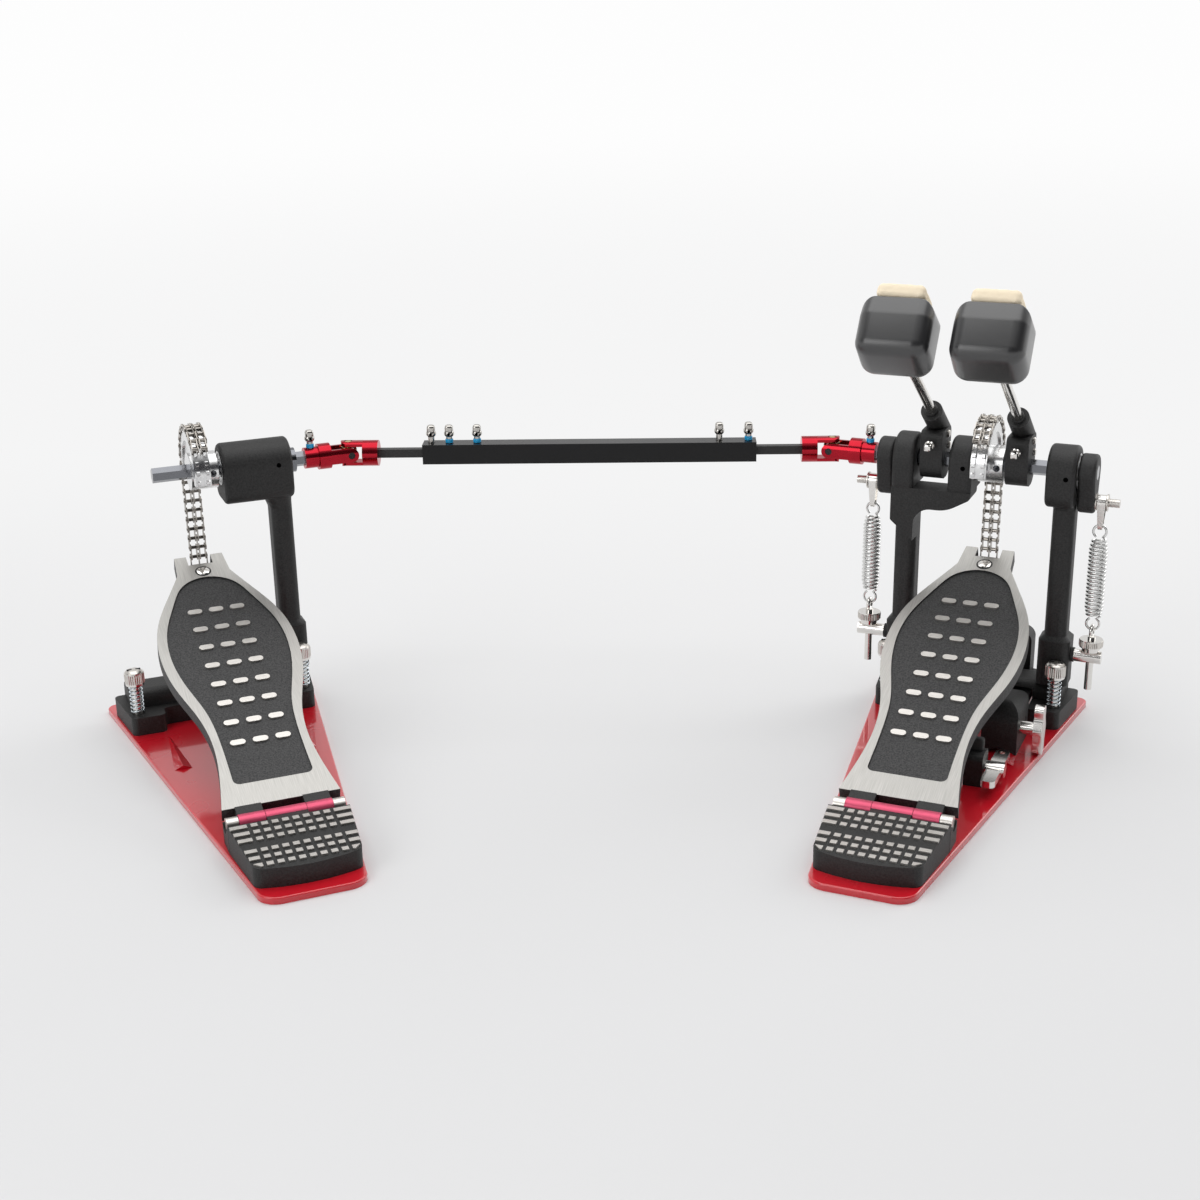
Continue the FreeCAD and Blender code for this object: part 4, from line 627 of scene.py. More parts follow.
def blocks_tree():
    """Rows and columns of one stamp on a flat field."""
    tree, given = new_tree("Blocks", [("Stamp", "Object"), ("Wide", "Float"), ("Long", "Float"),
                                      ("Columns", "Int"), ("Rows", "Int")])
    sizes = {"Size X": given["Wide"], "Size Y": given["Long"],
             "Vertices X": given["Columns"], "Vertices Y": given["Rows"]}
    field = given["Wide"].node("GeometryNodeMeshGrid", sizes)
    return close_tree(tree, laid_on(field, shape_of(given["Stamp"])), given["Material"])


def ridges_tree():
    """Upright ridges round a circle."""
    tree, given = new_tree("Ridges", [("Count", "Int"), ("Radius", "Float"), ("Size", "Vector")])
    sizes = {"Vertices": given["Count"], "Radius": given["Radius"]}
    circle = given["Count"].node("GeometryNodeMeshCircle", sizes)
    index = circle.node("GeometryNodeInputIndex")
    turn = circle.node("ShaderNodeCombineXYZ", {2: index / given["Count"] * (2 * math.pi) + math.pi / 4})
    cube = circle.node("GeometryNodeMeshCube", {"Size": given["Size"]})
    return close_tree(tree, laid_on(circle, cube, Rotation=turn), given["Material"])


STAMPS = stamps_tree()
BLOCKS = blocks_tree()
RIDGES = ridges_tree()
print(len(bpy.data.node_groups), "trees that repeat a stamp")

# %% [markdown]
# Two trees follow a line of points. The chain's tree finds the middle and the direction of every gap
# between two pins and puts the two kinds of link there in turn. The wire's tree sweeps a small circle
# along the line, which keeps the wire equally thick in the coil and in the hooks.

# %% Trees for chains and wires
def chain_tree():
    """Inner and outer links in turn along the edges of a line of pins."""
    tree, given = new_tree("Chain", [("Inner link", "Object"), ("Outer link", "Object"),
                                     ("First", "Float"), ("Side", "Vector")])
    line = given["Geometry"]
    start = line.node("GeometryNodeInputMeshEdgeVertices", output="Position 1")
    end = line.node("GeometryNodeInputMeshEdgeVertices", output="Position 2")
    along = line.node("ShaderNodeVectorMath", {0: end, 1: start}, operation="SUBTRACT")
    kept = line.node("GeometryNodeStoreNamedAttribute", {"Geometry": line, "Name": "along", "Value": along},
                     data_type="FLOAT_VECTOR", domain="EDGE")
    places = kept.node("GeometryNodeMeshToPoints", {"Mesh": kept}, mode="EDGES")
    read = places.node("GeometryNodeInputNamedAttribute", {"Name": "along"}, data_type="FLOAT_VECTOR")
    turn = read.node("FunctionNodeAxesToRotation", {"Primary Axis": read, "Secondary Axis": given["Side"]},
                     primary_axis="Y", secondary_axis="X")
    index = places.node("GeometryNodeInputIndex")
    odd = index.math("MODULO", index + given["First"], 2.0)
    rows = [laid_on(places, shape_of(given[label]), Rotation=turn, Selection=chosen)
            for label, chosen in (("Inner link", 1.0 - odd), ("Outer link", odd))]
    both = rows[0].node("GeometryNodeJoinGeometry", {"Geometry": rows})
    return close_tree(tree, both, given["Material"])


def wire_tree():
    """A round wire along a line of points."""
    tree, given = new_tree("Wire", [("Radius", "Float"), ("Sides", "Int")])
    path = given["Geometry"].node("GeometryNodeMeshToCurve", {"Mesh": given["Geometry"]})
    sizes = {"Resolution": given["Sides"], "Radius": given["Radius"]}
    ring = path.node("GeometryNodeCurvePrimitiveCircle", sizes)
    tube = path.node("GeometryNodeCurveToMesh", {"Curve": path, "Profile Curve": ring, "Fill Caps": True})
    return close_tree(tree, tube, given["Material"])


def in_line(points):
    """The edges that join points one after another."""
    return [(i, i + 1) for i in range(len(points) - 1)]


CHAIN = chain_tree()
WIRE = wire_tree()
print(len(bpy.data.node_groups), "trees in all")

# %% [markdown]
# The chain is a duplex roller chain. Inner links carry the rollers between two pairs of plates; outer
# links carry the pins, with one plate shared in the middle. One link of each kind is drawn from plates
# and round rods with few faces, because the chains repeat them many times.

# %% Chain links
PITCH = 6.35
ROLLER_X = 2.75
ROLLER_LONG = 3.0
ROLLER_R = 1.15
CHAIN_PIN_R = 0.9
CHAIN_PIN_OUT = 5.9
ROD_STEPS = 10
PLATE_T = 0.55
PLATE_END_R = 2.3
PLATE_WAIST = 1.5
ARC_FROM = -70
ARC_STEP = 28
ARC_POINTS = 6
INNER_ROWS = (-4.55, -0.95, 0.95, 4.55)
OUTER_ROWS = (-5.3, 0.0, 5.3)


def plate_outline():
    """Two round ends and a waist between them."""
    outline = []
    for side in (1, -1):
        for step in range(ARC_POINTS):
            angle = math.radians(ARC_FROM + ARC_STEP * step)
            out = PITCH / 2 + PLATE_END_R * math.cos(angle)
            outline.append((side * out, side * PLATE_END_R * math.sin(angle)))
        outline.append((0.0, side * PLATE_WAIST))
    return outline


def plates(rows):
    """One plate at each place across the chain."""
    return [slab(plate_outline(), x - PLATE_T / 2, x + PLATE_T / 2) for x in rows]


def cross_rod(radius, low, high, y):
    """A round rod across the chain."""
    return moved(lathe([(radius, low), (radius, high)], ROD_STEPS), shift(0, y, 0) @ ALONG_X)


inner_shapes = plates(INNER_ROWS)
outer_shapes = plates(OUTER_ROWS)
for end in (-PITCH / 2, PITCH / 2):
    outer_shapes.append(cross_rod(CHAIN_PIN_R, -CHAIN_PIN_OUT, CHAIN_PIN_OUT, end))
    for strand in (-ROLLER_X, ROLLER_X):
        inner_shapes.append(cross_rod(ROLLER_R, strand - ROLLER_LONG / 2, strand + ROLLER_LONG / 2, end))
inner_link = pattern("inner_link", joined(*inner_shapes))
outer_link = pattern("outer_link", joined(*outer_shapes))
print("links of", len(inner_link.data.polygons), "and", len(outer_link.data.polygons), "faces")

# %% [markdown]
# Each chain is two pieces. The wrap lies on the sprocket and turns with it. The run hangs down to the
# board's toe and bends over its first links, where it leaves the sprocket. It stays where it is drawn and
# follows neither body. The pins are worked out from the pitch, as the teeth of the sprocket are.

# %% Chains
TEETH = 28
PITCH_R = PITCH / (2 * math.sin(math.pi / TEETH))
TOOTH_DEG = 360.0 / TEETH
WRAP_START = 22.0
WRAP_LINKS = 9
RUN_LINKS = 11
TOE_PIN = Vector((0, 232.8, -4.4))
TOE_SLACK = Vector((0, 0.95, 0))


def on_sprocket(degrees):
    """The place of a pin on the sprocket's pitch circle."""
    angle = math.radians(degrees)
    return Vector((0, PITCH_R * math.cos(angle), AXLE_Z + PITCH_R * math.sin(angle)))


toe = BOARD @ TOE_PIN - TOE_SLACK
wrap_pins = [on_sprocket(WRAP_START + TOOTH_DEG * i) for i in range(WRAP_LINKS + 1)]
leaving = [on_sprocket(WRAP_START - TOOTH_DEG * i) for i in range(3)]
run_pins = leaving + [leaving[-1].lerp(toe, i / RUN_LINKS) for i in range(1, RUN_LINKS + 1)]
for prefix, place in PEDALS:
    drive = "right_drive" if prefix == "primary" else "secondary_drive"
    for word, pins, first in (("wrap", wrap_pins, 0.0), ("run", run_pins, 1.0)):
        values = {"Inner link": inner_link, "Outer link": outer_link, "First": first,
                  "Side": (1.0, 0.0, 0.0), "Material": chain_nickel}
        chain = grown("%s_%s_links" % (prefix, word), CHAIN, values, place, pins, in_line(pins))
        if word == "wrap":
            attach(chain, drive)
        else:
            place @ run_pins[0]
            place @ run_pins[3]
            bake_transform(chain)
        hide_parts("%s_chain_%s" % (prefix, word))
        print(chain.name, len(chain.data.polygons), "faces")

# %% [markdown]
# The return springs pull the beaters back. Each is wound from one wire: a close coil that narrows at
# both ends and turns up into a loop. A Screw modifier could make the coil, but not the loops, so the
# path is a list of points along a helix and two rings, and the wire's tree gives it thickness.

# %% Return springs
HOOK_TOP_Z = 134.55
HOOK_BOTTOM_Z = 65.55
HOOK_R = 4.0
COIL_LEAD = 1.0
LOOP_START = -60
LOOP_END = 240
LOOP_STEP = 12
SPRING_R = 5.2
SPRING_TURNS = 20
END_TAPER = 1.2
TAPER_TURNS = 2.5
SPRING_WIRE_R = 0.8
TURN_STEPS = 20


def coil(radius, low, high, turns):
    """Points up a helix whose radius follows the share of its length."""
    count = turns * TURN_STEPS
    points = []
    for i in range(count + 1):
        angle = 2 * math.pi * i / TURN_STEPS
        wide = radius(i / count)
        up = low + (high - low) * i / count
        points.append(Vector((wide * math.cos(angle), wide * math.sin(angle), up)))
    return points


def loop(centre_z, upward):
    """A ring in the x-z plane, nearly closed, from the coil to the far end."""
    points = []
    for degrees in range(LOOP_START, LOOP_END + 1, LOOP_STEP):
        angle = math.radians(degrees)
        points.append(Vector((HOOK_R * math.cos(angle), 0, centre_z + upward * HOOK_R * math.sin(angle))))
    return points


def narrowed(share):
    """The coil is full in the middle and tapers over its last turns."""
    end = min(share, 1 - share) * SPRING_TURNS
    return SPRING_R - END_TAPER * max(0.0, 1.0 - end / TAPER_TURNS)


lower = loop(HOOK_BOTTOM_Z + HOOK_R, -1)
upper = loop(HOOK_TOP_Z - HOOK_R, 1)
lead = 2 * HOOK_R + COIL_LEAD
middle = coil(narrowed, HOOK_BOTTOM_Z + lead, HOOK_TOP_Z - lead, SPRING_TURNS)
spring_path = list(reversed(lower)) + middle + upper
spring_edges = in_line(spring_path)
for word, x in SPRING_SIDES:
    place = PRIMARY @ shift(x, 0, 0)
    values = {"Radius": SPRING_WIRE_R, "Sides": 10, "Material": spring_steel}
    spring = grown(word + "_spring_wire", WIRE, values, place, spring_path, spring_edges, smooth_deg=60)
    word + "_swing"
    word + "_clip"
    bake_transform(spring)
    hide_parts(word + "_return_spring")
    print(spring.name, len(spring_path), "points,", len(spring.data.polygons), "faces")

# %% [markdown]
# Under each of the four spur heads a thin open spring keeps the spur from rattling loose. The same helix
# serves, with one radius all the way. The four are joined into one piece, because nothing moves them
# apart.

# %% Spur springs
SPUR_X = 54.5
SPUR_Y = -17.0
SPUR_COIL_R = 4.0
SPUR_COIL_Z = (16.9, 35.6)
SPUR_TURNS = 7
SPUR_WIRE_R = 0.5
spur_path = coil(lambda share: SPUR_COIL_R, *SPUR_COIL_Z, SPUR_TURNS)
coils = []
for prefix, place in PEDALS:
    for side in (-1, 1):
        values = {"Radius": SPUR_WIRE_R, "Sides": 8, "Material": spur_steel}
        at = place @ shift(side * SPUR_X, SPUR_Y, 0)
        coils.append(grown("%s_spur_coil" % prefix, WIRE, values, at, spur_path, in_line(spur_path),
                           smooth_deg=60))
with bpy.context.temp_override(active_object=coils[0], selected_editable_objects=coils):
    bpy.ops.object.join()
coils[0].name = "spur_coils"
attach(coils[0], "frame")
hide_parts("spur_springs")
print("spur coils", len(coils[0].data.polygons), "faces")

# %% [markdown]
# The beater heads are moulded plastic. Rounding a block with a bevel leaves its corners uneven where the
# sides slope, so the head is a stack of round outlines across its width. The outer ones shrink along a
# quarter circle, and the light then runs softly round it.

# %% Beater heads
HEAD_L = 130.0
HEAD_W = 42.5
HEAD_D = 40.0
HEAD_H = 34.0
HEAD_STRIP = 11.0
HEAD_SLOPE = 3.0
HEAD_TAPER = 6.0
HEAD_RIM = 9.0
LEAST_R = 1.0
RIM_STEPS = 8


def head_shape():
    """Rounded outlines stacked across the head."""
    d = HEAD_D / 2
    low = HEAD_L - HEAD_H / 2
    high = HEAD_L + HEAD_H / 2
    corners = [(-d, low), (d, low), (d, high - HEAD_SLOPE), (d - HEAD_STRIP, high), (-d + HEAD_TAPER, high)]
    radii = [HEAD_RIM, HEAD_RIM / 2, HEAD_RIM / 6, HEAD_RIM, HEAD_RIM]
    rim = []
    for step in range(RIM_STEPS + 1):
        angle = math.radians(90.0 * step / RIM_STEPS)
        inset = HEAD_RIM * (1 - math.sin(angle))
        outline = rounded(shrunk(corners, inset), [max(radius - inset, LEAST_R) for radius in radii])
        rim.append((HEAD_W / 2 - HEAD_RIM * (1 - math.cos(angle)), outline))
    layers = [(-x, outline) for x, outline in rim] + [(x, outline) for x, outline in reversed(rim)]
    count = len(layers[0][1])
    points = [Vector((x, y, z)) for x, outline in layers for y, z in outline]
    faces = [tuple(range(count)), tuple(range(len(points) - count, len(points)))]
    for layer in range(len(layers) - 1):
        for i in range(count):
            a = layer * count + i
            b = layer * count + (i + 1) % count
            faces.append((a, b, b + count, a + count))
    return points, faces


for word, x in BEATERS:
    mesh = mesh_of(word + "_head", head_shape(), smooth_deg=50)
    head = piece(word + "_head", mesh, head_black, PRIMARY @ leaned(x))
    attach(head, word + "_beater")
    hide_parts(word + "_beater_head")
    print(head.name, len(head.data.polygons), "faces")

# %% [markdown]
# A felt block is glued to the drum side of each head. It is pressed wool: full, square at the back and
# worn round at the edges. A round block would look moulded, so its points are pushed about a little by a
# noise. It has a fixed seed, which gives the same felt every time the script runs.

# %% Felts
FELT_W = 28.0
FELT_T = 9.4
FELT_H = 26.0
FELT_RIM = 3.6
FELT_CUTS = 26
FELT_SINK = 0.2
FELT_WAVES = 0.35
FELT_LIFT = 0.22
FELT_SEED = 5
value_noise.seed_set(FELT_SEED)
for word, x in BEATERS:
    block = rounded_brick(FELT_W, FELT_T, FELT_H, FELT_RIM, FELT_CUTS)
    points, faces = moved(block, shift(0, HEAD_D / 2 + FELT_T / 2 - FELT_SINK, HEAD_L))
    soft = [point + value_noise.noise_vector(point * FELT_WAVES) * FELT_LIFT for point in points]
    mesh = mesh_of(word + "_felt", (soft, faces), smooth_deg=80)
    felt = piece(word + "_felt", mesh, felt_cream, PRIMARY @ leaned(x))
    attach(felt, word + "_beater")
    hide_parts(word + "_beater_felt")
    print(felt.name, len(felt.data.polygons), "faces")

# %% [markdown]
# Heel plates have rows of raised blocks, ground bright on top, so that the shoe doesn't slip. Small
# blocks fill two groups of three rows, and the tree lays them out; a longer block ends each row at the
# plate's edge. Those follow the taper of the plate, so they are drawn one by one in a loop.

# %% Heel blocks
HEEL_REAR = Vector((0, -217.0, 20.1))
HEEL_FRONT = Vector((0, -257.0, 16.1))
BLOCK_RISE = 0.25
BLOCK_W = 3.7
BLOCK_L = 3.3
BLOCK_H = 1.5
BLOCK_PITCH = 5.9
ROW_PITCH = 7.2
COLUMNS = 8
BAR_IN = 24.7
BAR_OUT = 34.3
BAR_TAPER = 0.109
CORNER_OUT = (29.4, 26.2)
ROW_GROUPS = (("rear", 12.8), ("front", -13.3))
fall = HEEL_REAR - HEEL_FRONT
heel_middle = Matrix.Translation((HEEL_REAR + HEEL_FRONT) / 2 + Vector((0, 0, BLOCK_RISE)))
heel_field = heel_middle @ Matrix.Rotation(math.atan2(fall.z, fall.y), 4, "X")
small_block = pattern("small_block", brick(BLOCK_W, BLOCK_L, BLOCK_H))


def heel_bars():
    """The long blocks that end each row; the front ones are cut by the plate's round corner."""
    shapes = []
    rows = [middle + step * ROW_PITCH for word, middle in ROW_GROUPS for step in (1, 0, -1)]
    for row in rows:
        out = BAR_OUT - BAR_TAPER * (rows[0] - row)
        outer = CORNER_OUT if row == rows[-1] else (out, out)
        for side in (-1, 1):
            corners = [(row + BLOCK_L / 2, side * BAR_IN), (row + BLOCK_L / 2, side * outer[0]),
                       (row - BLOCK_L / 2, side * outer[1]), (row - BLOCK_L / 2, side * BAR_IN)]
            shapes.append(moved(slab(corners, -BLOCK_H / 2, BLOCK_H / 2), FLAT))
    return joined(*shapes)


for prefix, place in PEDALS:
    values = {"Columns": COLUMNS, "Rows": 3, "Wide": (COLUMNS - 1) * BLOCK_PITCH, "Long": 2 * ROW_PITCH,
              "Stamp": small_block, "Material": cast_silver}
    fields = []
    for word, middle in ROW_GROUPS:
        at = place @ heel_field @ shift(0, middle, 0)
        fields.append(grown("%s_heel_%s_blocks" % (prefix, word), BLOCKS, values, at))
    name = prefix + "_heel_bars"
    fields.append(piece(name, mesh_of(name, heel_bars()), cast_silver, place @ heel_field))
    for field in fields:
        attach(field, "frame")
    print(prefix, "heel:", sum(len(field.data.polygons) for field in fields), "faces")

# %% [markdown]
# The panels of the footboards get short rounded bars in three columns, cast with the board and ground in
# the same pass as its rim. They stand almost level with the rim, so the sole rests on both.

# %% Grip bars
GRIP_LONG = 9.2
GRIP_DEEP = 4.4
GRIP_R = 2.19
GRIP_T = 1.3
GRIP_DROP = 0.62
GRIP_MIDDLE = 116.0
grip_outline = rounded(oblong(GRIP_DEEP, GRIP_LONG), [GRIP_R] * 4)
grip_bar = pattern("grip_bar", moved(slab(grip_outline, -GRIP_T / 2, GRIP_T / 2), FLAT))
for prefix, place in PEDALS:
    values = {"Columns": 3, "Rows": 8, "Wide": 27.0, "Long": 126.0, "Stamp": grip_bar,
              "Material": cast_silver}
    at = place @ BOARD @ shift(0, GRIP_MIDDLE, -GRIP_DROP)
    bars = grown(prefix + "_grip_bars", BLOCKS, values, at)
    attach(bars, prefix + "_board")
    print(bars.name, len(bars.data.polygons), "faces")

# %% [markdown]
# Each beater's hub is clamped by a screw with a square head, which is turned with the drum key, and by
# two small screws on its side. A tree stamps one shape on a list of places, each with the direction in
# which the screw stands out, so a screw is drawn once however often it is used.

# %% Hub screws
UP = (0, 0, 1)
TO_HEEL = (0, -1, 0)
TO_RIGHT = (1, 0, 0)
HUB_HALF_W = 7.0
HUB_HALF_D = 12.0
HUB_SCREW_Z = 12.0
SIDE_SCREWS = ((3.0, 16.0), (6.0, 8.0))
key_foot = lathe([(2.2, -1.0), (2.2, 3.0), (3.2, 3.6), (3.2, 5.0), (2.6, 5.8)])
key_square = moved(rounded_brick(4.6, 4.6, 5.6, 1.2, 5), shift(0, 0, 8.2))
key_screw = pattern("key_screw", joined(key_foot, key_square))
side_screw = pattern("side_screw", lathe([(2.4, -0.5), (2.4, 0.9), (1.9, 1.3)], 14))


def stamped(name, stamp, places, place, material, body):
    """One piece with a stamp at each (point, axis)."""
    made = grown(name, STAMPS, {"Stamp": stamp, "Material": material}, place,
                 [Vector(point) for point, axis in places], axes=[Vector(axis) for point, axis in places])
    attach(made, body)
    print(name, len(places), "places,", len(made.data.polygons), "faces")
    return made


for word, x in BEATERS:
    drive = word + "_drive"
    front = [((x, -HUB_HALF_D, AXLE_Z + HUB_SCREW_Z), TO_HEEL)]
    side = [((x + HUB_HALF_W, y, AXLE_Z + z), TO_RIGHT) for y, z in SIDE_SCREWS]
    stamped(word + "_hub_screws", key_screw, front, PRIMARY, bright_nickel, drive)
    stamped(word + "_hub_side_screws", side_screw, side, PRIMARY, satin_nickel, drive)

# %% [markdown]
# Longer key screws hold the yokes on the axles and the rods in the shaft's tube. Each has a round collar
# with a cross hole under its square, and some show a ring of blue thread lock where they enter the metal.
# The cross hole is not cut: a black disc on the collar is its painted shade. The three are pieces of their
# own, since each has its own finish.

# %% Long key screws
YOKE_R = 6.9
YOKE_SINK = 0.3
YOKES = (("left_drive", PRIMARY, -75.5), ("secondary_drive", SECONDARY, 74.5))
TUBE_L = 218.0
TUBE_TOP = 6.5
FROM_LEFT = (5.5, 17.3, 35.6)
FROM_RIGHT = (24.0, 5.0)
HOLE_Z = 6.2
collar = lathe([(2.1, -1.0), (2.1, 4.2), (2.7, 4.6), (3.3, 5.6), (3.3, 7.0), (2.8, 7.8)], 18)
long_square = moved(rounded_brick(5.4, 5.4, 5.8, 1.9, 6), shift(0, 0, 9.1))
long_screw = pattern("long_screw", joined(collar, long_square))
cross_hole = pattern("cross_hole", lathe([(1.0, 2.8), (1.0, 3.4)], 12))
lock_ring = pattern("lock_ring", lathe([(2.15, 0.1), (2.6, 0.3), (2.6, 2.4), (2.15, 2.8)]))


def long_screws(name, feet, place, body, locked):
    """Long key screws on a list of feet, black discs of painted shade for their cross holes, and a patch of
    thread lock on some.
    """
    tops = [(foot, UP) for foot in feet]
    screws = stamped(name, long_screw, tops, place, screw_nickel, body)
    dots = [((x, y, z + HOLE_Z), TO_HEEL) for x, y, z in feet]
    # The dark of each cross hole is painted shade, a black disc on the collar.
    stamped(name + "_holes", cross_hole, dots, place, hole_shade_black, body)
    rings = [(feet[i], UP) for i in locked]
    stamped(name + "_lock", lock_ring, rings, place, threadlock, body)
    return screws


for body, place, x in YOKES:
    long_screws(body + "_yoke_screw", [(x, 0, AXLE_Z + YOKE_R - YOKE_SINK)], place, body, [0])
tube_places = [inset - TUBE_L / 2 for inset in FROM_LEFT] + [TUBE_L / 2 - inset for inset in FROM_RIGHT]
feet = [(x, 0, TUBE_TOP) for x in tube_places]
shaft_screws = long_screws("shaft_screws", feet, SHAFT, "drive_shaft", [1, 2, 4])
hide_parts("shaft_key_screws")

# %% [markdown]
# Set screws sit sunk in the housings and hold the bearings. Only a dark hole shows of them: the black screw
# deep down, and the shade inside the hole. A thin black disc just proud of the casting paints that shade.

# %% Set screws, their holes in painted shade
HOUSING_FACE_Y = -16.0
SET_HOLES = {"primary": [(-11.5, -1.0), (52.0, -2.0)], "secondary": [(50.0, 1.5)]}
# Each disc is painted shade: the dark inside the hole, over the black screw.
set_hole = pattern("set_hole", lathe([(1.5, -0.5), (1.5, 0.12)], 14))
for prefix, place in PEDALS:
    places = [((x, HOUSING_FACE_Y, AXLE_Z + z), TO_HEEL) for x, z in SET_HOLES[prefix]]
    stamped(prefix + "_set_screws", set_hole, places, place, hole_shade_black, "frame")

# %% [markdown]
# The toe screw is a cross-head screw that holds the chain's clamp. Its head lies in a dark ring, with
# the two arms of the cross pressed into it. Cutting the cross out of the head would need many more
# faces, so the arms are thin bricks that just break through the dome.

# %% Toe screws
TOE_L = 219.8
CROSS_L = 4.4
CROSS_W = 1.0
CROSS_T = 0.5
CROSS_Z = 0.62
toe_head = lathe([(4.2, -0.4), (4.2, 0.25), (3.4, 0.6), (0.4, 0.85)], 24)
toe_ring = lathe([(5.2, -0.3), (5.2, 0.12)], 24)
arms = joined(brick(CROSS_L, CROSS_W, CROSS_T), brick(CROSS_W, CROSS_L, CROSS_T))
toe_cross = moved(arms, shift(0, 0, CROSS_Z))
TOE_PARTS = (("ring", toe_ring, rubber_black), ("head", toe_head, bright_nickel),
             ("cross", toe_cross, satin_nickel))
for prefix, place in PEDALS:
    for word, shape, material in TOE_PARTS:
        name = "%s_toe_%s" % (prefix, word)
        part = piece(name, mesh_of(name, shape), material, place @ BOARD @ shift(0, TOE_L, 0))
        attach(part, prefix + "_board")
        print(name, len(part.data.polygons), "faces")

# %% [markdown]
# Spur heads and tension nuts are turned by hand, so their rims are knurled: a hard wheel presses fine
# ridges into the metal. A bump would vanish at the outline, so the ridges are real and stand a little proud
# of the solid. A domed cap with a slot ends each spur. The slot is not cut: a thin black bar across the
# dome is its painted shade.

# %% Knurls and spur caps
KNURL_Z = 41.2
CAP_Z = 45.0
NUT_Z = 56.6
SPUR_RIDGES = {"Count": 30, "Radius": 5.85, "Size": (0.75, 0.75, 6.4), "Material": satin_nickel}
NUT_RIDGES = {"Count": 40, "Radius": 7.05, "Size": (0.7, 0.7, 3.8), "Material": satin_nickel}
cap = lathe([(5.7, -0.2), (5.7, 0.3), (4.9, 1.1), (3.2, 1.8), (0.3, 2.1)], 24)
# The slot's painted shade: a thin black bar lying across the dome.
slot_shade_bar = moved(brick(8.6, 1.5, 0.6), shift(0, 0, 1.7))
for prefix, place in PEDALS:
    for word, side in (("left", -1), ("right", 1)):
        body = "%s_%s_spur" % (prefix, word)
        at = place @ shift(side * SPUR_X, SPUR_Y, 0)
        top = at @ shift(0, 0, CAP_Z)
        # The slot piece is a black bar of painted shade in the rubber's finish, not rubber.
        made = [grown(body + "_knurl", RIDGES, SPUR_RIDGES, at @ shift(0, 0, KNURL_Z)),
                piece(body + "_cap", mesh_of(body + "_cap", cap), satin_nickel, top),
                piece(body + "_slot", mesh_of(body + "_slot", slot_shade_bar), rubber_black, top)]
        for part in made:
            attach(part, body)
for word, x in SPRING_SIDES:
    knurl = grown(word + "_nut_knurl", RIDGES, NUT_RIDGES, PRIMARY @ shift(x, 0, NUT_Z))
    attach(knurl, word + "_swing")
    print(knurl.name, len(knurl.data.polygons), "faces")

# %% [markdown]
# A black rubber grommet sits where each beater shaft enters its collar, and keeps the collar from
# buzzing. A washer parts each swivel bar from its post, and the key clip has a rubber prong that presses
# on the key. They are turned or rounded shapes like the screws, in a dull black.

# %% Rubber pieces
SOCKET_TOP = 18.0
BAR_Z = 47.0
WASHERS = (("left", -61.3), ("right", 60.8))
grommet = lathe([(4.1, -1.0), (4.1, 2.2), (3.5, 3.0), (3.16, 3.0), (3.16, -1.0)], 20)
washer = lathe([(4.75, 0.0), (4.75, 2.0)], 24)
prong = rounded_brick(9.0, 6.0, 9.0, 1.5, 6)


def rubber(name, shape, place, body):
    """A rubber piece on its body."""
    made = piece(name, mesh_of(name, shape), rubber_black, place)
    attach(made, body)


for word, x in BEATERS:
    rubber(word + "_grommet", grommet, PRIMARY @ leaned(x) @ shift(0, 0, SOCKET_TOP), word + "_drive")
for word, x in WASHERS:
    rubber(word + "_bar_washer", washer, PRIMARY @ shift(x, 0, BAR_Z) @ ALONG_X, word + "_swing")
rubber("key_prong", prong, PRIMARY @ shift(27.0, -116.0, 27.0), "frame")
for used in patterns:
    bpy.data.objects.remove(used)

# %% [markdown]
# The picture is taken with a short tele lens from in front of the heels, a little above them, looking
# down. The camera's place was found from points whose size is known, such as the two axles and the base
# plates. It is written as a place and three turns, so that each can be changed by itself.

# %% Camera
EYE = Vector((-160.4397, -982.1953, 467.6))
EYE_TURN = 2.113
EYE_TILT = 19.623
EYE_ROLL = -1.061
camera = bpy.data.objects.new("camera", bpy.data.cameras.new("camera"))
bpy.context.scene.collection.objects.link(camera)
look = turned(EYE_TURN, "Z") @ turned(90.0 - EYE_TILT, "X") @ turned(EYE_ROLL, "Z")
camera.matrix_world = Matrix.Translation(EYE * MM) @ look
camera.data.lens = 53.39
camera.data.sensor_width = 36.0
camera.data.clip_end = 200.0
bpy.context.scene.camera = camera
print("camera", round(EYE.length), "mm from the origin, lens", camera.data.lens, "mm")

# %% [markdown]
# A studio floor runs on into the background without a line. Near the pedals it is a pale diffuse floor
# that takes their soft shadows; far away it fades into an even white, as a lit paper sweep does. A bent
# sheet would do this for one view only, so the floor is flat and its material fades.

# %% Floor
FLOOR_REACH = 60.0
SHEET = [(-1, -1), (1, -1), (1, 1), (-1, 1)]


def ramp(value, low, high, kind="SMOOTHSTEP"):
    """From 0 at the low end to 1 at the high end."""
    return value.node("ShaderNodeMapRange", {"Value": value, "From Min": low, "From Max": high},
                      interpolation_type=kind)


floor_mesh = bpy.data.meshes.new("floor")
floor_mesh.from_pydata([(x * FLOOR_REACH, y * FLOOR_REACH, 0) for x, y in SHEET], [], [(0, 1, 2, 3)])
floor_material, floor_tree, floor_surface, floor_place = finish_parts("floor")
behind = floor_place.node("ShaderNodeSeparateXYZ", {0: floor_place}, output="Y")
distance = floor_place.node("ShaderNodeVectorMath", {0: floor_place}, output="Value", operation="LENGTH")
near_fade = ramp(behind, -0.2, 0.8)
fade = near_fade.math("MAXIMUM", near_fade, ramp(distance, 0.75, 2.2))
away = ramp(distance, 0.5, 5.0, "SMOOTHERSTEP")
paper = mixed(noise(floor_place, 3.0), (0.70, 0.70, 0.705, 1.0), (0.72, 0.72, 0.725, 1.0))
floor_tree.links.new(paper.socket, floor_surface.inputs["Base Color"])
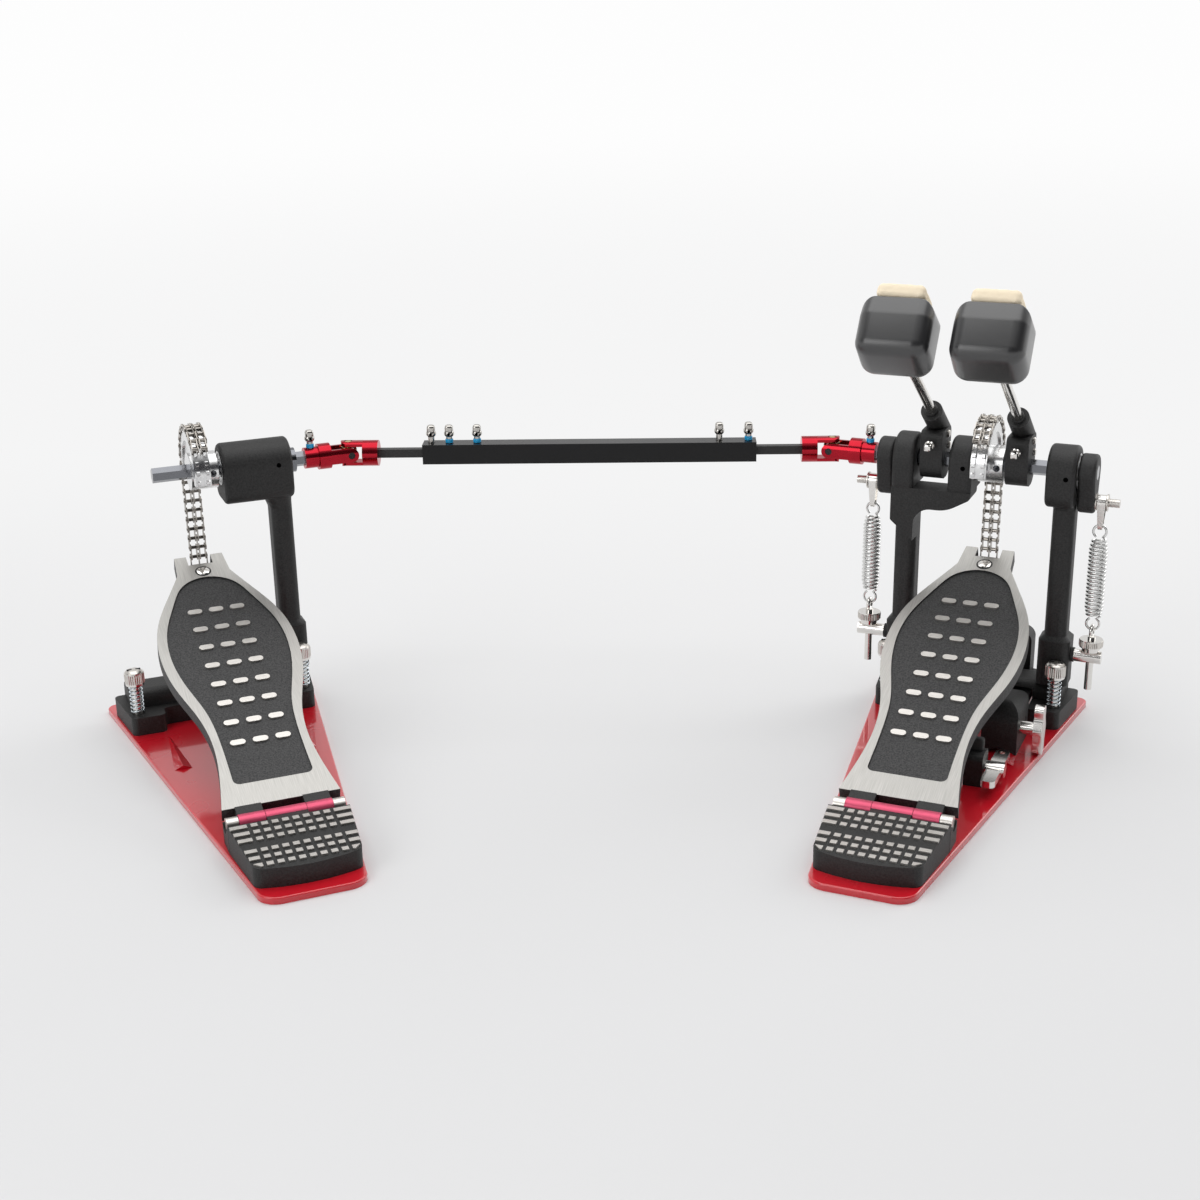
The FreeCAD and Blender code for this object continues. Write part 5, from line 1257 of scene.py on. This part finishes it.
floor_surface.inputs["Roughness"].default_value = 0.9
white = mixed(away, (0.91, 0.91, 0.912, 1.0), (0.985, 0.985, 0.985, 1.0))
glow = white.node("ShaderNodeEmission", {"Color": white, "Strength": 1.0})
matt = Value(floor_tree, floor_surface.outputs[0])
blended = glow.node("ShaderNodeMixShader", {0: fade, 1: matt, 2: glow})
floor_tree.links.new(blended.socket, floor_tree.nodes["Material Output"].inputs["Surface"])
floor = piece("floor", floor_mesh, floor_material)
print("floor", 2 * FLOOR_REACH, "m wide")

# %% [markdown]
# Three large soft lamps light the rig: one high above, one low from the left front and one from behind
# on the right. Large lamps give the long soft highlights of a studio; small ones would leave hard dots
# on the chrome.

# %% Lamps
bpy.context.scene.view_settings.view_transform = "Standard"
AIM = Vector((-0.18, 0.06, 0.10))
LAMPS = (
    ("overhead", (-0.2, 0.2, 2.1), (2.6, 2.0), 24.0),
    ("left front", (-1.7, -1.5, 1.1), (1.4, 1.2), 14.0),
    ("right back", (1.6, 1.3, 1.2), (1.2, 1.2), 10.0),
)
for name, place, size, watts in LAMPS:
    data = bpy.data.lights.new(name, "AREA")
    data.shape = "RECTANGLE"
    data.size = size[0]
    data.size_y = size[1]
    data.energy = watts
    lamp = bpy.data.objects.new(name, data)
    bpy.context.scene.collection.objects.link(lamp)
    lamp.location = place
    lamp.rotation_euler = (AIM - lamp.location).to_track_quat("-Z", "Y").to_euler()
    print(name, watts, "W")

# %% [markdown]
# Bright metal shows what stands round it: a white backdrop behind the rig, and on the camera's side a
# dark room under a bright ceiling, which gives the chrome its black lines. Low along the horizon the
# room is white all round, so that the floor runs on into it from every side.

# %% Room
CEILING = (0.85, 0.85, 0.85, 1.0)
DARK = (0.04, 0.04, 0.045, 1.0)
HORIZON = (1.094, 1.094, 1.094, 1.0)
world = bpy.data.worlds.new("studio")
bpy.context.scene.world = world
world.use_nodes = True
sky_tree = world.node_tree
sky_tree.nodes.clear()
ray = Value(sky_tree, sky_tree.nodes.new("ShaderNodeTexCoord").outputs["Generated"])
height = ray.node("ShaderNodeSeparateXYZ", {0: ray}, output="Z")
depth = ray.node("ShaderNodeSeparateXYZ", {0: ray}, output="Y")
room = mixed(ramp(height, 0.55, 0.9), DARK, CEILING)
sky = mixed(ramp(depth, -0.25, 0.25), room, CEILING)
around = mixed(ramp(height, 0.09, 0.14), HORIZON, sky)
shine = sky.node("ShaderNodeBackground", {"Color": around, "Strength": 0.9})
out = sky_tree.nodes.new("ShaderNodeOutputWorld")
sky_tree.links.new(shine.socket, out.inputs["Surface"])
print("room of", len(sky_tree.nodes), "nodes")
